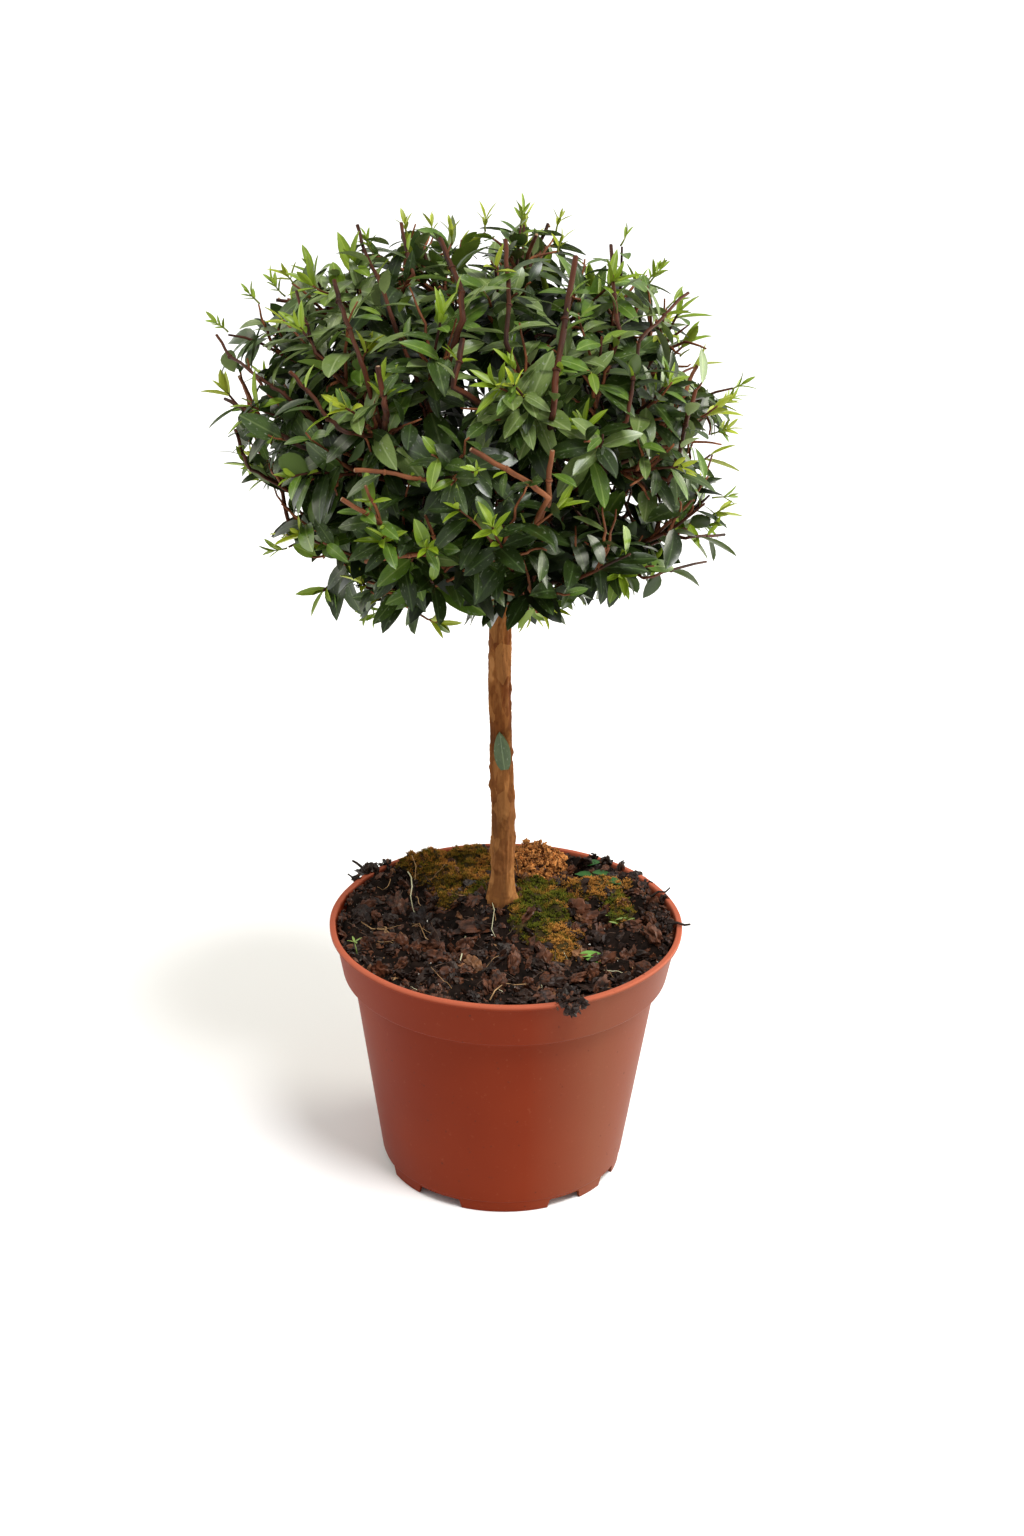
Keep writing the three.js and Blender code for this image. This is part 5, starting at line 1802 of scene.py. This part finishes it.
THREAD_COLOURS = {
    "thread_pale": ((0.45, 0.42, 0.26), (0.66, 0.64, 0.42)),
    "thread_tan": ((0.22, 0.12, 0.05), (0.48, 0.30, 0.15)),
    "thread_dark": ((0.03, 0.017, 0.012), (0.11, 0.065, 0.045)),
    "twig_bits": ((0.012, 0.008, 0.006), (0.035, 0.02, 0.015)),
}
GREEN_COLOURS = {
    "sprout": ((0.10, 0.17, 0.025), (0.24, 0.33, 0.07), (0.40, 0.48, 0.18)),
    "leaf_fallen": ((0.09, 0.22, 0.022), (0.15, 0.32, 0.05), (0.30, 0.45, 0.14)),
    "leaf_low": ((0.012, 0.060, 0.009), (0.03, 0.12, 0.02), (0.06, 0.18, 0.04)),
}


def make_litter():
    """Root threads, twigs, fallen leaves and seedlings on the compost."""
    draw = seeded(SEED + 960)
    piles = {name: Pile() for name in [*THREAD_COLOURS, *GREEN_COLOURS]}
    for kind, count, radius, long in LOOSE_THREADS:
        for _ in range(count):
            x, y = on_soil(draw, 4, 64)
            points = thread(draw, settle(x, y, 0.9), 360 * draw(), 24 * draw(), long * (0.5 + 0.8 * draw()))
            add_thread(piles[kind], points, radius * (0.7 + 0.6 * draw()))
    for kind, radius, route in THREADS:
        add_thread(piles[kind], [settle(*place) for place in route], radius)
    for radius, route in RIM_TWIGS:
        add_thread(piles["twig_bits"], route, radius)
    for kind, x, y, lift, turn, rise, length in GREEN_BITS:
        out = direction(turn, rise)
        face = unit(np.array([0, -0.25, 1.0]) - out * out[2])
        shapes = SHOOT_SHAPES if kind == "sprout" else LEAF_SHAPES
        add_leaf(piles[kind], shapes, draw, settle(x, y, lift), out, face, length)
    # A seedling by the left rim.
    stem = [settle(-62, -27, 0.5), settle(-62.5, -26.5, 3.0), settle(-63, -26, 5.5)]
    add_thread(piles["sprout"], stem, 0.3)
    for turn in (20, 110, 200, 290):
        out = direction(turn, 28)
        face = unit(np.array([0, 0, 1.0]) - out * out[2])
        add_leaf(piles["sprout"], SHOOT_SHAPES, draw, stem[-1], out, face, 3.6)
    make_pieces(piles, THREAD_COLOURS, "compost", twig_material, 0.8)
    make_pieces(piles, GREEN_COLOURS, "leaf", leaf_material, 0.0, 0.5)


# ------------------------------------------------------------------ camera, light, floor

CAMERA_DISTANCE = 1300.0
CAMERA_AIM = np.array([0.0, 0.0, 60.0])
CAMERA_RISE = 29.86
CAMERA_PITCH = 5.0
CAMERA_TURN = 0.07
CAMERA_ROLL = 1.08
CAMERA_LENS = 70.03
CAMERA_SENSOR = 36


def make_camera():
    """The camera that the photo was taken with, fitted to the pot's rim, collar and foot."""
    rise = math.radians(CAMERA_RISE)
    place = CAMERA_AIM + CAMERA_DISTANCE * np.array([0, -math.cos(rise), math.sin(rise)])
    look = rise - math.radians(CAMERA_PITCH)
    turn = math.radians(CAMERA_TURN)
    ahead = np.array([math.sin(turn) * math.cos(look), math.cos(turn) * math.cos(look),
                      -math.sin(look)])
    right = unit(np.cross(ahead, [0, 0, 1]))
    up = np.cross(right, ahead)
    roll = math.radians(CAMERA_ROLL)
    across = math.cos(roll) * right + math.sin(roll) * up
    upward = -math.sin(roll) * right + math.cos(roll) * up
    camera = bpy.data.objects.new("camera", bpy.data.cameras.new("camera"))
    camera.data.lens = CAMERA_LENS
    camera.data.sensor_width = CAMERA_SENSOR
    camera.data.clip_start = 0.01
    turned = Matrix((across, upward, -ahead)).transposed()
    camera.matrix_world = Matrix.Translation(Vector(place * MM)) @ turned.to_4x4()
    bpy.context.scene.collection.objects.link(camera)
    bpy.context.scene.camera = camera


# Lamps: name, kind, place in metres, power, size and colour.
LAMPS = [
    ("key", "SUN", (0.6, -0.75, 2.2), 2.7, 20, (1, 1, 1)),
    ("side_right", "AREA", (1.3, 0.3, 0.5), 19, 0.9, (1.0, 0.97, 0.84)),
    ("side_left", "AREA", (-1.0, 0.35, 0.9), 5.5, 0.9, (1.0, 0.95, 0.80)),
]
SURROUND = 0.56
FLOOR_REACH = 12
PALE = (0.93, 0.93, 0.93)
LAMP_AIM = Vector((0, 0, 0.25))


def add_lamp(name, kind, place, power, size, colour):
    """A lamp that points at the plant; size is in degrees for a sun and in metres for a disk."""
    lamp = bpy.data.lights.new(name, kind)
    lamp.energy = power
    lamp.color = colour
    if kind == "SUN":
        lamp.angle = math.radians(size)
    else:
        lamp.shape = "DISK"
        lamp.size = size
    light = bpy.data.objects.new(name, lamp)
    light.location = Vector(place)
    aim = LAMP_AIM - Vector(place)
    light.rotation_euler = aim.to_track_quat("-Z", "Y").to_euler()
    bpy.context.scene.collection.objects.link(light)


def make_studio():
    """White surroundings, one soft key light, two warm side lights and a pale floor."""
    scene = bpy.context.scene
    scene.view_settings.view_transform = "Standard"
    world = bpy.data.worlds.new("studio")
    world.use_nodes = True
    background = world.node_tree.nodes["Background"]
    background.inputs[0].default_value = (1, 1, 1, 1)
    background.inputs[1].default_value = SURROUND
    scene.world = world
    for lamp in LAMPS:
        add_lamp(*lamp)
    bm = bmesh.new()
    bmesh.ops.create_grid(bm, x_segments=1, y_segments=1, size=FLOOR_REACH)
    mesh = mesh_of(bm, "floor")
    floor = bpy.data.objects.new("floor", mesh)
    scene.collection.objects.link(floor)
    mesh.materials.append(new_material("floor", 0.9, PALE, 0.1)[0])


make_camera()
make_studio()
make_crown()
make_pot()
make_compost()
make_crumbs()
make_back_chips()
make_moss()
make_bark()
make_stray_leaf()
make_litter()
